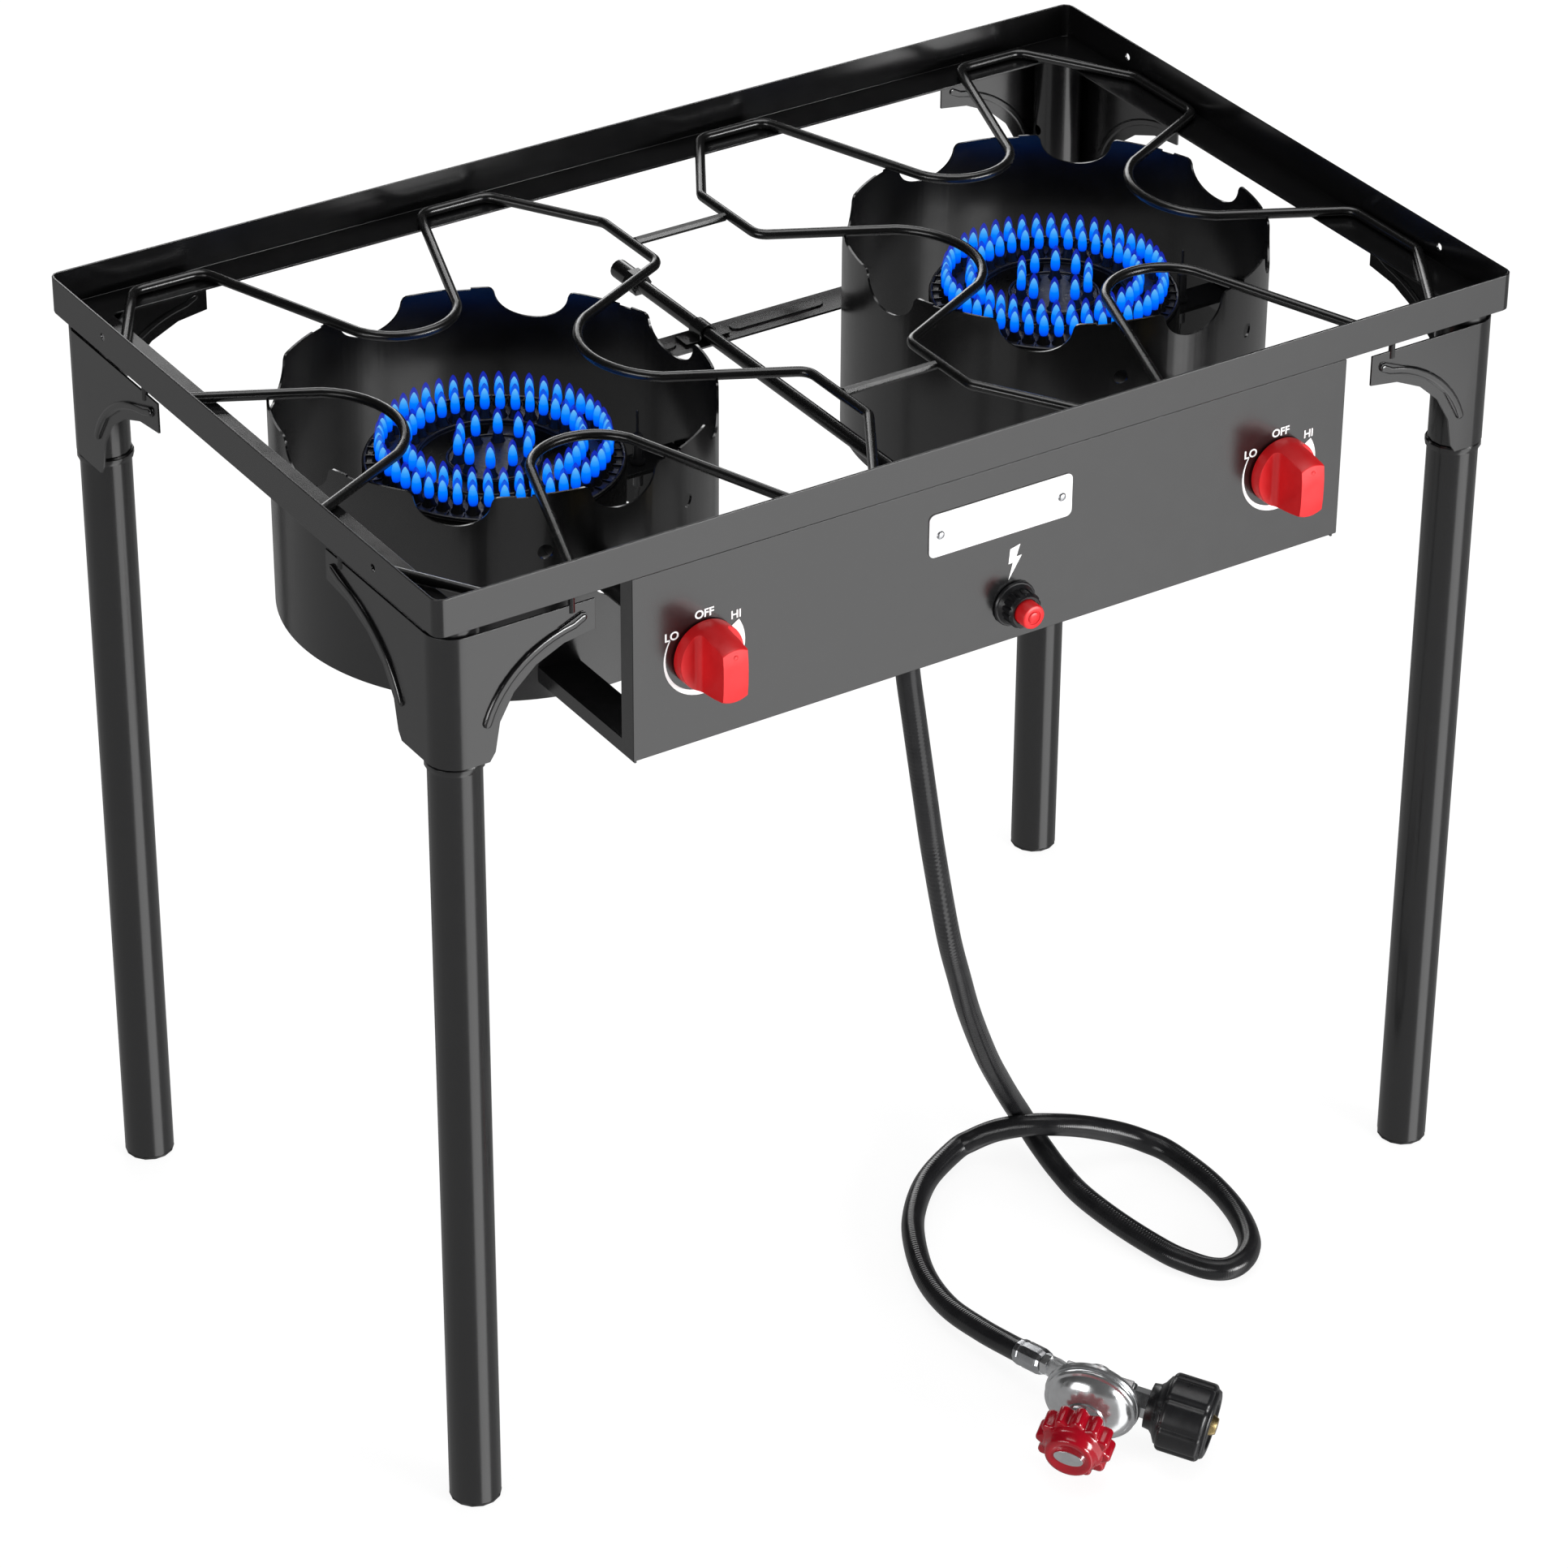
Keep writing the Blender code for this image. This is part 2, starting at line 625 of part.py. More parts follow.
def build_leg(name, sign_x, sign_y):
    centre = (sign_x * LEG_X, sign_y * LEG_Y, 0)
    bore = LEG_RADIUS - TUBE_WALL
    socket_low = LEG_TOP + BEAD_HEIGHT + GAP
    socket = turned(
        "leg_socket_" + name,
        [
            (LEG_RADIUS, TRAY_BOTTOM - GAP),
            (LEG_RADIUS, socket_low),
            (bore, socket_low),
            (bore, TRAY_BOTTOM - GAP),
        ],
        16,
        hollow=True,
        look="black_paint",
        at=centre,
    )
    inside = Vector((-sign_x, 0, 0))
    hole_start = inside * (bore - 0.004) + Vector((0, 0, SOCKET_HOLE_Z))
    hole_end = inside * (LEG_RADIUS + 0.004) + Vector((0, 0, SOCKET_HOLE_Z))
    cut(socket, cylinder(f"socket_hole_{name}", hole_start, hole_end, SOCKET_HOLE_RADIUS, 12, at=centre))

    spigot = bore - GAP
    low = FOOT_FLANGE + GAP
    top = LEG_TOP + SPIGOT_LENGTH
    profile = [
        (spigot, top),
        (spigot, LEG_TOP + BEAD_HEIGHT),
        (LEG_RADIUS + LEG_BEAD - 0.0006, LEG_TOP + BEAD_HEIGHT),
        (LEG_RADIUS + LEG_BEAD, LEG_TOP + 0.0048),
        (LEG_RADIUS + LEG_BEAD, LEG_TOP + 0.0014),
        (LEG_RADIUS, LEG_TOP),
        (LEG_RADIUS, low),
        (bore, low),
        (bore, LEG_TOP),
        (spigot - TUBE_WALL, LEG_TOP + 0.004),
        (spigot - TUBE_WALL, top),
    ]
    turned("leg_" + name, profile, 16, hollow=True, look="leg_paint", at=centre)

    # plug pressed into the tube's end, with a thin flange to stand on
    cap = [
        (0.0, FOOT_PLUG),
        (spigot - 0.001, FOOT_PLUG),
        (spigot, FOOT_PLUG - 0.002),
        (spigot, FOOT_FLANGE),
        (LEG_RADIUS, FOOT_FLANGE),
        (LEG_RADIUS, 0.0006),
        (LEG_RADIUS - 0.0006, 0.0),
        (0.0, 0.0),
    ]
    turned("foot_cap_" + name, cap, 14, look="foot_plastic", at=centre)


# ---- control panel ------------------------------------------------------------------------------
def build_panel():
    top = TRAY_BOTTOM - GAP
    panel = block(
        "control_panel",
        (-PANEL_HALF_LENGTH, -HALF_Y, PANEL_BOTTOM),
        (PANEL_HALF_LENGTH, -HALF_Y + PANEL_RETURN, top),
        look="black_paint",
    )
    inside = PANEL_HALF_LENGTH - SHEET
    cut(panel, block("panel_inside", (-inside, -PANEL_BACK, PANEL_BOTTOM - 0.01), (inside, 0, top + 0.01)))
    front, back = -HALF_Y - 0.01, -PANEL_BACK + 0.01
    for side in (-1, 1):
        x = side * BURNER_X
        hole = STEM_RADIUS + PANEL_STEM_FIT
        cut(panel, cylinder(f"panel_hole_{side}", (x, front, KNOB_Z), (x, back, KNOB_Z), hole, 20))
    hole = BUTTON_RADIUS + BUTTON_FIT + IGNITER_WALL + GAP
    at = (IGNITER_X, IGNITER_Z)
    cut(panel, cylinder("panel_hole_igniter", (at[0], front, at[1]), (at[0], back, at[1]), hole, 24))


def arm_end_cutter(name, side, extra):
    """A tall drum just wider than a guard, to shape what meets the guard's wall."""
    drum = circle(GUARD_RADIUS + extra)
    return flat_outline(name, [drum], GUARD_BOTTOM - 0.02, GUARD_TOP + 0.02, at=(side * BURNER_X, 0, 0))


def build_panel_arms():
    for side, name in ((-1, "panel_arm_left"), (1, "panel_arm_right")):
        outer = PANEL_HALF_LENGTH - SHEET - GAP
        inner = outer - ARM_WIDTH
        front = -PANEL_BACK + GAP
        back = -0.100
        low = min(side * outer, side * inner)
        high = max(side * outer, side * inner)
        arm = block(name, (low, front, ARM_TOP - ARM_LIP), (high, back, ARM_TOP), look="black_paint")
        under = sorted((side * (outer - SHEET), side * (inner - 0.01)))
        cut(
            arm,
            block(
                name + "_under",
                (under[0], front - 0.01, ARM_TOP - ARM_LIP - 0.01),
                (under[1], back + 0.01, ARM_TOP - SHEET),
            ),
            arm_end_cutter(name + "_end", side, GAP),
        )


# ---- wind guards --------------------------------------------------------------------------------
def notch_outline():
    """A bowl-shaped scoop open at the top, in the plane across the guard."""
    half = NOTCH_WIDTH / 2
    lip = GUARD_TOP - NOTCH_CORNER
    left = [(-half - NOTCH_CORNER, GUARD_TOP), (-half - NOTCH_CORNER * 0.35, GUARD_TOP - NOTCH_CORNER * 0.3)]
    right = [(-x, z) for x, z in reversed(left)]
    bowl = []
    for x, z in arc((0, 0), 1.0, 180, 360, 8):
        bowl.append((x * half, lip + z * (NOTCH_DEPTH - NOTCH_CORNER)))
    sky = GUARD_TOP + 0.01
    return [(-half - NOTCH_CORNER, sky)] + left + bowl + right + [(half + NOTCH_CORNER, sky)]


def build_guards():
    for side, name in ((-1, "wind_guard_left"), (1, "wind_guard_right")):
        centre = (side * BURNER_X, 0, 0)
        rings = [circle(GUARD_RADIUS), circle(GUARD_RADIUS - SHEET)]
        guard = flat_outline(name, rings, GUARD_BOTTOM, GUARD_TOP, look="black_paint", at=centre)
        for i in range(4):
            angle = math.radians(45 * i)
            across = Matrix.Rotation(angle, 3, "Z") @ FACE_FRONT
            reach = GUARD_RADIUS + 0.05
            label = f"{name}_notch_{i}"
            notch = flat_outline(label, [notch_outline()], -reach, reach, turn=across, at=centre)
            cut(guard, notch)
            tilt = (0, 0, angle + math.radians(22.5))
            half = TAB_SLOT_WIDTH / 2
            low, high = (-half, -reach, GUARD_TOP - TAB_SLOT_DEPTH), (half, reach, GUARD_TOP + 0.01)
            cut(guard, block(f"{name}_slot_{i}", low, high, turn=tilt, at=centre))
        for angle in (-112.5, -67.5):
            a = math.radians(angle)
            aim = Vector((math.cos(a), math.sin(a), 0))
            start = aim * (GUARD_RADIUS - 0.01) + Vector((0, 0, GUARD_HOLE_Z))
            end = aim * (GUARD_RADIUS + 0.01) + Vector((0, 0, GUARD_HOLE_Z))
            cut(guard, cylinder(f"{name}_hole_{angle:.0f}", start, end, GUARD_HOLE_RADIUS, 14, at=centre))
        start, end = (0, -GUARD_RADIUS - 0.01, KNOB_Z), (0, -GUARD_RADIUS + 0.012, KNOB_Z)
        cut(guard, cylinder(name + "_tube_hole", start, end, VENTURI_TUBE + 0.0015, 16, at=centre))


# ---- burners ------------------------------------------------------------------------------------
def build_burners():
    for side, name in ((-1, "left"), (1, "right")):
        centre = (side * BURNER_X, 0, 0)
        low, high = BURNER_BOTTOM, BURNER_TOP
        ring = [
            (BURNER_RING_INNER, high - 0.002),
            (BURNER_RING_INNER + 0.002, high),
            (BURNER_RADIUS - 0.003, high),
            (BURNER_RADIUS, high - 0.003),
            (BURNER_RADIUS, low + 0.006),
            (BURNER_RADIUS - 0.003, low),
            (BURNER_RING_INNER + 0.002, low),
            (BURNER_RING_INNER, low + 0.003),
        ]
        label = "burner_" + name
        head = turned(label, ring, 28, hollow=True, look="cast_iron", at=centre)
        hub = [(0, high), (BURNER_HUB - 0.002, high), (BURNER_HUB, high - 0.002), (BURNER_HUB, low), (0, low)]
        join(head, turned(label + "_hub", hub, 18, at=centre))
        for direction in BURNER_ARM_ANGLES:
            angle = (0, 0, math.radians(direction))
            half = BURNER_ARM / 2
            arm_low, arm_high = (0.012, -half, low + 0.001), (BURNER_RING_INNER + 0.003, half, high - 0.003)
            join(head, block(f"{label}_arm_{direction}", arm_low, arm_high, turn=angle, at=centre))
        neck_start = (0, -BURNER_RADIUS + 0.010, KNOB_Z)
        neck_end = (0, -NECK_END, KNOB_Z)
        join(head, cylinder(label + "_neck", neck_start, neck_end, NECK_RADIUS, 16, at=centre))
        # gas way: a channel round the ring, fed from the neck
        channel = [
            (BURNER_RING_INNER + 0.005, high - 0.006),
            (BURNER_RADIUS - 0.005, high - 0.006),
            (BURNER_RADIUS - 0.005, low + 0.004),
            (BURNER_RING_INNER + 0.005, low + 0.004),
        ]
        cut(head, turned(label + "_channel", channel, 16, hollow=True, at=centre))
        socket = VENTURI_TUBE + VENTURI_FIT
        feed_start = (0, -BURNER_RADIUS + 0.020, KNOB_Z)
        cut(head, cylinder(label + "_feed", feed_start, (0, -NECK_END - 0.01, KNOB_Z), 0.0090, 12, at=centre))
        plug = (0, -NECK_END + VENTURI_PLUG + 0.001, KNOB_Z)
        cut(head, cylinder(label + "_socket", plug, (0, -NECK_END - 0.01, KNOB_Z), socket, 16, at=centre))

        build_support(name, side)
        build_venturi(name, side)


def build_support(name, side):
    centre = (side * BURNER_X, 0, 0)
    top = BURNER_BOTTOM - GAP
    half = SUPPORT_WIDTH / 2
    inner = GUARD_RADIUS - SHEET - GAP
    reach = math.sqrt(inner * inner - half * half) * math.cos(math.pi / ROUND)
    sheet = SUPPORT_SHEET
    outline = [
        (-reach, top),
        (reach, top),
        (reach, top - SUPPORT_TAB),
        (reach - sheet, top - SUPPORT_TAB),
        (reach - sheet, top - sheet),
        (-reach + sheet, top - sheet),
        (-reach + sheet, top - SUPPORT_TAB),
        (-reach, top - SUPPORT_TAB),
    ]
    label = "burner_support_" + name
    bar = flat_outline(label, [outline], -half, half, turn=FACE_FRONT, look="black_paint", at=centre)
    hole = ELECTRODE_RADIUS + GAP
    start, end = (ELECTRODE_X, 0, top - sheet - 0.01), (ELECTRODE_X, 0, top + 0.01)
    cut(bar, cylinder(label + "_hole", start, end, hole, 14, at=centre))
    # ignition electrode: a ceramic rod with a steel tip, beside the outer ring
    collar = top + 0.0003
    profile = [
        (0.0, BURNER_TOP + 0.004),
        (0.0009, BURNER_TOP + 0.003),
        (0.0009, top + 0.022),
        (ELECTRODE_RADIUS - 0.0006, top + 0.021),
        (ELECTRODE_RADIUS, top + 0.020),
        (ELECTRODE_RADIUS, collar + 0.004),
        (0.0050, collar + 0.003),
        (0.0050, collar),
        (ELECTRODE_RADIUS, collar),
        (ELECTRODE_RADIUS, top - 0.016),
        (0.0, top - 0.016),
    ]
    turned("electrode_" + name, profile, 12, look="ceramic", at=(centre[0] + ELECTRODE_X, 0, 0))


def build_venturi(name, side):
    wall = VENTURI_WALL
    tube, bell = VENTURI_TUBE, VENTURI_BELL
    mouth, throat = -VENTURI_MOUTH, -VENTURI_THROAT
    end = -NECK_END + VENTURI_PLUG
    flare = []
    for i in range(4):
        share = i / 3
        radius = tube + (bell - tube) * (1 - math.sin(share * math.pi / 2))
        flare.append((radius, mouth + (throat - mouth) * share))
    outer = [(tube, end)] + [(r, y) for r, y in reversed(flare)]
    inner = [(r - wall, y) for r, y in flare] + [(tube - wall, end)]
    turned(
        "venturi_" + name,
        outer + inner,
        18,
        hollow=True,
        turn=ALONG_BACK,
        look="cast_iron",
        at=(side * BURNER_X, 0, KNOB_Z),
    )
    # air shutter: a turning disc with windows in front of the bell's mouth
    sheet = 0.0012
    outline = [circle(bell - 0.0006, 24), circle(ORIFICE_RADIUS + 0.0004, 12)]
    for first in (30, 210):
        window = arc((0, 0), bell - 0.0055, first, first + 110, 4)
        window += arc((0, 0), ORIFICE_RADIUS + 0.0035, first + 110, first, 3)
        outline.append(window)
    flat_outline(
        "air_shutter_" + name,
        outline,
        -sheet / 2,
        sheet / 2,
        turn=FACE_FRONT,
        look="steel",
        at=(side * BURNER_X, mouth - GAP - sheet / 2, KNOB_Z),
    )


# ---- gas line -----------------------------------------------------------------------------------
def build_valves():
    for side, name in ((-1, "left"), (1, "right")):
        at = (side * BURNER_X, 0, KNOB_Z)
        half = VALVE_WIDTH / 2
        rise = MANIFOLD_Z - KNOB_Z
        front, back = -PANEL_BACK + GAP, -VALVE_BACK
        label = "valve_" + name
        body = block(label, (-half, front, -0.012), (half, back, rise + 0.010), look="brass", at=at)
        soften(body, 0.002, 1)
        nose = [
            (0.0, -ORIFICE_END),
            (ORIFICE_RADIUS - 0.0012, -ORIFICE_END),
            (ORIFICE_RADIUS, -ORIFICE_END - 0.0015),
            (ORIFICE_RADIUS, back - 0.002),
            (0.0, back - 0.002),
        ]
        join(body, turned(label + "_orifice", nose, 16, turn=ALONG_BACK, at=at))
        depth = front + 0.017
        bore = STEM_RADIUS + STEM_FIT
        jet = (0, -ORIFICE_END + 0.01, 0)
        port_end = (-side * VALVE_WIDTH, -MANIFOLD_Y, rise)
        cut(
            body,
            cylinder(label + "_stem_bore", (0, front - 0.01, 0), (0, depth, 0), bore, 16, at=at),
            cylinder(label + "_jet", (0, depth - 0.001, 0), jet, 0.0014, 8, at=at),
            cylinder(label + "_port", (0, -MANIFOLD_Y, rise), port_end, 0.004, 12, at=at),
        )
        stem_front = -KNOB_FRONT + 0.006
        profile = [
            (0.0, depth - 0.002),
            (STEM_RADIUS - 0.0008, depth - 0.002),
            (STEM_RADIUS, depth - 0.003),
            (STEM_RADIUS, stem_front + 0.0008),
            (STEM_RADIUS - 0.0008, stem_front),
            (0.0, stem_front),
        ]
        turned("valve_stem_" + name, profile, 16, turn=ALONG_BACK, look="brass", at=at)
        build_knob(name, at, stem_front)


def build_knob(name, at, stem_front):
    """A tapered round body, cut away on both sides down to its skirt, bored for the valve stem."""
    back = -HALF_Y - 0.0006
    skirt_front = back - KNOB_SKIRT
    label = "knob_" + name
    front = -KNOB_FRONT
    tip = GRIP_HEIGHT / 2
    body = [
        (0.0, back),
        (KNOB_RADIUS - 0.0006, back),
        (KNOB_RADIUS, back - 0.0008),
        (KNOB_RADIUS, skirt_front),
        (tip + 0.0006, front + 0.0024),
        (tip - 0.0008, front + 0.0010),
        (tip * 0.6, front + 0.0002),
        (tip * 0.3, front),
        (0.0, front),
    ]
    knob = turned(label, body, 24, turn=ALONG_BACK, look="red_plastic", at=at)
    far = KNOB_RADIUS + 0.002
    for side in (-1, 1):
        low_x, high_x = sorted((side * GRIP_WIDTH / 2, side * far))
        low, high = (low_x, front - 0.002, -far), (high_x, skirt_front, far)
        cut(knob, block(f"{label}_scoop_{side}", low, high, at=at))
    bore = STEM_RADIUS + GAP
    cut(
        knob,
        cylinder(label + "_bore", (0, -HALF_Y + 0.01, 0), (0, stem_front - GAP, 0), bore, 16, at=at),
    )


def build_manifold():
    y, z = -MANIFOLD_Y, MANIFOLD_Z
    reach = BURNER_X - VALVE_WIDTH / 2 - GAP
    manifold = cylinder("manifold", (-reach, y, z), (reach, y, z), MANIFOLD_RADIUS, 16, look="black_paint")
    rear_end = y + BRANCH_REACH
    socket_start = rear_end - 0.009
    hose_top, hose_end = (HOSE_BRANCH_X, y, z), (HOSE_BRANCH_X, y, HOSE_BRANCH_LOW)
    beyond = (0, rear_end + 0.01, z)
    join(
        manifold,
        cylinder("manifold_rear_branch", (0, y, z), (0, rear_end, z), BRANCH_RADIUS, 16),
        cylinder("manifold_hose_branch", hose_top, hose_end, BRANCH_RADIUS, 16),
    )
    low = HOSE_BRANCH_LOW - 0.01
    cut(
        manifold,
        cylinder("manifold_bore", (-reach - 0.01, y, z), (reach + 0.01, y, z), 0.0042, 12),
        cylinder("manifold_rear_bore", (0, y, z), beyond, PIPE_RADIUS - PIPE_WALL, 12),
        cylinder("manifold_pipe_socket", (0, socket_start, z), beyond, PIPE_RADIUS + GAP, 16),
        cylinder("manifold_hose_bore", hose_top, (HOSE_BRANCH_X, y, low), 0.0040, 12),
    )
    start = socket_start + GAP
    pipe_wall = PIPE_RADIUS - PIPE_WALL
    profile = [(PIPE_RADIUS, PIPE_END), (PIPE_RADIUS, start), (pipe_wall, start), (pipe_wall, PIPE_END)]
    turned("gas_pipe", profile, 16, hollow=True, turn=ALONG_BACK, look="black_paint", at=(0, 0, z))

    # rear end of the line: a hexagon fitting with a threaded nose and a screwed cap
    hexagon = circle(REAR_HEX, 6)
    fitting = flat_outline(
        "rear_fitting",
        [hexagon],
        -REAR_HEX_END,
        -(PIPE_END - REAR_GRIP),
        turn=FACE_FRONT,
        look="black_paint",
        at=(0, 0, z),
    )
    nose = (0, REAR_NOSE, 0)
    join(fitting, cylinder("rear_nose", (0, PIPE_END + 0.0012, 0), nose, 0.0052, 16, at=(0, 0, z)))
    cut(
        fitting,
        cylinder("rear_socket", (0, 0, z), (0, PIPE_END + GAP, z), PIPE_RADIUS + GAP, 16),
        cylinder("rear_bore", (0, 0, z), (0, REAR_NOSE + 0.01, z), 0.003, 10),
    )
    cap_start = REAR_HEX_END + GAP
    cap = [
        (0.0, REAR_CAP_END),
        (REAR_CAP_RADIUS - 0.001, REAR_CAP_END),
        (REAR_CAP_RADIUS, REAR_CAP_END - 0.001),
        (REAR_CAP_RADIUS, cap_start),
        (0.0052 + GAP, cap_start),
        (0.0052 + GAP, REAR_NOSE + GAP),
        (0.0, REAR_NOSE + GAP),
    ]
    turned("rear_cap", cap, 16, turn=ALONG_BACK, look="black_paint", at=(0, 0, z))


def build_strap():
    top = MANIFOLD_Z - PIPE_RADIUS - GAP
    low = top - SHEET
    reach = BURNER_X - GUARD_RADIUS / 2
    front, back = STRAP_Y - STRAP_WIDTH / 2, STRAP_Y + STRAP_WIDTH / 2
    strap = block("cross_strap", (-reach, front, low), (reach, back, top), look="black_paint")
    for side in (-1, 1):
        cut(strap, arm_end_cutter(f"strap_end_{side}", side, GAP))
        rib = band([(side * 0.026, STRAP_Y), (side * 0.090, STRAP_Y)], 0.0045)
        join(strap, flat_outline(f"strap_rib_{side}", [rib], low + SHEET / 2, top + 0.0011))
    # saddle clip over the pipe
    base = top + GAP
    inner = PIPE_RADIUS + GAP
    outer = inner + CLIP_SHEET
    rise = MANIFOLD_Z
    over = arc((0, rise), outer, 0, 180, 8)
    under = arc((0, rise), inner, 180, 0, 8)
    outline = [(CLIP_HALF, base), (CLIP_HALF, base + CLIP_SHEET), (outer, base + CLIP_SHEET)] + over
    outline += [(-outer, base + CLIP_SHEET), (-CLIP_HALF, base + CLIP_SHEET), (-CLIP_HALF, base)]
    outline += [(-inner, base)] + under + [(inner, base)]
    half = CLIP_WIDTH / 2
    flat_outline("pipe_clip", [outline], -half, half, turn=FACE_FRONT, look="black_paint", at=(0, STRAP_Y, 0))


# ---- igniter ------------------------------------------------------------------------------------
def build_igniter():
    at = (IGNITER_X, 0, IGNITER_Z)
    bore = BUTTON_RADIUS + BUTTON_FIT
    neck = bore + IGNITER_WALL
    panel_back = -PANEL_BACK + GAP
    neck_front = -HALF_Y - 0.0135
    floor_y = panel_back + 0.006
    back = -0.203
    body = [
        (0.0, back),
        (0.0065, back),
        (0.0080, back - 0.004),
        (0.0120, back - 0.0055),
        (0.0120, panel_back),
        (neck, panel_back),
        (neck, neck_front),
        (bore, neck_front),
        (bore, floor_y),
        (0.0, floor_y),
    ]
    turned("igniter_body", body, 16, turn=ALONG_BACK, look="black_plastic", at=at)
    face = -HALF_Y - GAP
    nut = [
        (neck + GAP, face),
        (BEZEL_RADIUS, face),
        (BEZEL_RADIUS, face - 0.0022),
        (BEZEL_RADIUS - 0.0008, face - 0.0030),
        (NUT_RADIUS, face - 0.0030),
        (NUT_RADIUS, neck_front - 0.0002),
        (NUT_RADIUS - 0.0010, neck_front - 0.0012),
        (neck + GAP, neck_front - 0.0012),
    ]
    turned("igniter_nut", nut, 16, hollow=True, turn=ALONG_BACK, look="black_plastic", at=at)
    front = neck_front - 0.0090
    rear = floor_y - 0.0050
    button = [
        (0.0, rear),
        (BUTTON_RADIUS, rear),
        (BUTTON_RADIUS, front + 0.0015),
        (BUTTON_RADIUS - 0.0012, front),
        (0.0058, front),
        (0.0052, front + 0.0006),
        (0.0, front + 0.0006),
    ]
    turned("igniter_button", button, 16, turn=ALONG_BACK, look="red_plastic", at=at)
    # ignition leads, from the igniter's back under each guard to its electrode
    lead_top = BURNER_BOTTOM - GAP - 0.016 - GAP
    dip = GUARD_BOTTOM - 0.007
    y = back + GAP
    left_x, right_x = ELECTRODE_X - BURNER_X, ELECTRODE_X + BURNER_X
    left = [
        (IGNITER_X - 0.0030, y, IGNITER_Z),
        (IGNITER_X - 0.0040, y + 0.012, IGNITER_Z - 0.003),
        (IGNITER_X - 0.0110, y + 0.036, IGNITER_Z - 0.018),
        (left_x * 0.45, -0.110, dip + 0.008),
        (left_x * 0.75, -0.062, dip),
        (left_x * 0.94, -0.026, dip + 0.006),
        (left_x, 0.0, dip + 0.032),
        (left_x, 0.0, lead_top),
    ]
    right = [
        (IGNITER_X + 0.0030, y, IGNITER_Z),
        (IGNITER_X + 0.0050, y + 0.012, IGNITER_Z - 0.003),
        (IGNITER_X + 0.0400, y + 0.018, IGNITER_Z - 0.004),
        (BURNER_X - 0.0600, y + 0.014, ARM_TOP + 0.008),
        (BURNER_X + 0.0300, y + 0.014, ARM_TOP + 0.008),
        (BURNER_X + 0.0850, y + 0.030, ARM_TOP - 0.006),
        (BURNER_X + 0.1180, -0.112, dip),
        (BURNER_X + 0.1180, -0.060, dip),
        (right_x + 0.0020, -0.016, dip + 0.012),
        (right_x, 0.0, dip + 0.036),
        (right_x, 0.0, lead_top),
    ]
    for name, route in (("left", left), ("right", right)):
        rod("igniter_lead_" + name, smooth_route(route, 2), 0.0013, 1, look="lead_cover")


# ---- hose and regulator -------------------------------------------------------------------------
def smooth_route(points, per_span):
    """Points of a smooth curve through a route."""
    line = [Vector(p) for p in points]
    line = [line[0] * 2 - line[1]] + line + [line[-1] * 2 - line[-2]]
    result = []
    for i in range(1, len(line) - 2):
        a, b, c, d = line[i - 1 : i + 3]
        for k in range(per_span):
            t = k / per_span
            curve = b * 2 + (c - a) * t + (a * 2 - b * 5 + c * 4 - d) * t * t
            curve += (b * 3 - a - c * 3 + d) * t * t * t
            result.append(curve / 2)
    result.append(line[-2])
    return result


HOSE_ROUTE = (
    (-0.0550, -0.2320, 0.5445),
    (-0.0550, -0.2320, 0.5330),
    (-0.0550, -0.2320, 0.5174),
    (-0.0478, -0.2305, 0.4759),
    (-0.0346, -0.2245, 0.4143),
    (-0.0212, -0.2160, 0.3624),
    (0.0057, -0.1960, 0.2795),
    (0.0266, -0.1805, 0.2282),
    (0.0483, -0.1630, 0.1812),
    (0.0814, -0.1365, 0.1207),
    (0.1083, -0.1160, 0.0773),
    (0.1264, -0.1040, 0.0485),
    (0.1399, -0.0985, 0.0264),
    (0.1444, -0.1055, 0.0146),
    (0.1424, -0.1215, 0.0113),
    (0.1390, -0.1472, 0.0086),
    (0.1355, -0.1807, 0.0086),
    (0.1384, -0.2234, 0.0086),
    (0.1454, -0.2636, 0.0086),
    (0.1522, -0.2824, 0.0086),
    (0.1601, -0.2968, 0.0090),
    (0.1714, -0.3037, 0.0095),
    (0.1871, -0.2993, 0.0095),
    (0.2021, -0.2837, 0.0090),
    (0.2141, -0.2532, 0.0086),
    (0.2195, -0.2154, 0.0086),
    (0.2172, -0.1722, 0.0086),
    (0.2072, -0.1557, 0.0125),
    (0.1931, -0.1463, 0.0190),
    (0.1752, -0.1391, 0.0260),
    (0.1595, -0.1336, 0.0310),
    (0.1451, -0.1274, 0.0335),
    (0.1332, -0.1194, 0.0330),
    (0.1230, -0.1098, 0.0290),
    (0.1138, -0.0997, 0.0225),
    (0.1021, -0.0926, 0.0155),
    (0.0900, -0.0904, 0.0105),
    (0.0553, -0.1071, 0.0086),
    (0.0261, -0.1344, 0.0086),
    (0.0071, -0.1628, 0.0086),
    (-0.0093, -0.2012, 0.0086),
    (-0.0159, -0.2385, 0.0100),
    (-0.0139, -0.2745, 0.0130),
    (-0.0100, -0.3030, 0.0162),
    (-0.0087, -0.3129, 0.0178),
)


def even_route(points, count):
    """Evenly spaced points along the smooth curve through a route."""
    fine = smooth_route(points, 12)
    reach = [0.0]
    for before, after in zip(fine, fine[1:]):
        reach.append(reach[-1] + (after - before).length)
    result = [fine[0]]
    index = 0
    for i in range(1, count):
        wanted = reach[-1] * i / count
        while reach[index + 1] < wanted:
            index += 1
        share = (wanted - reach[index]) / (reach[index + 1] - reach[index])
        result.append(fine[index].lerp(fine[index + 1], share))
    result.append(fine[-1])
    return result


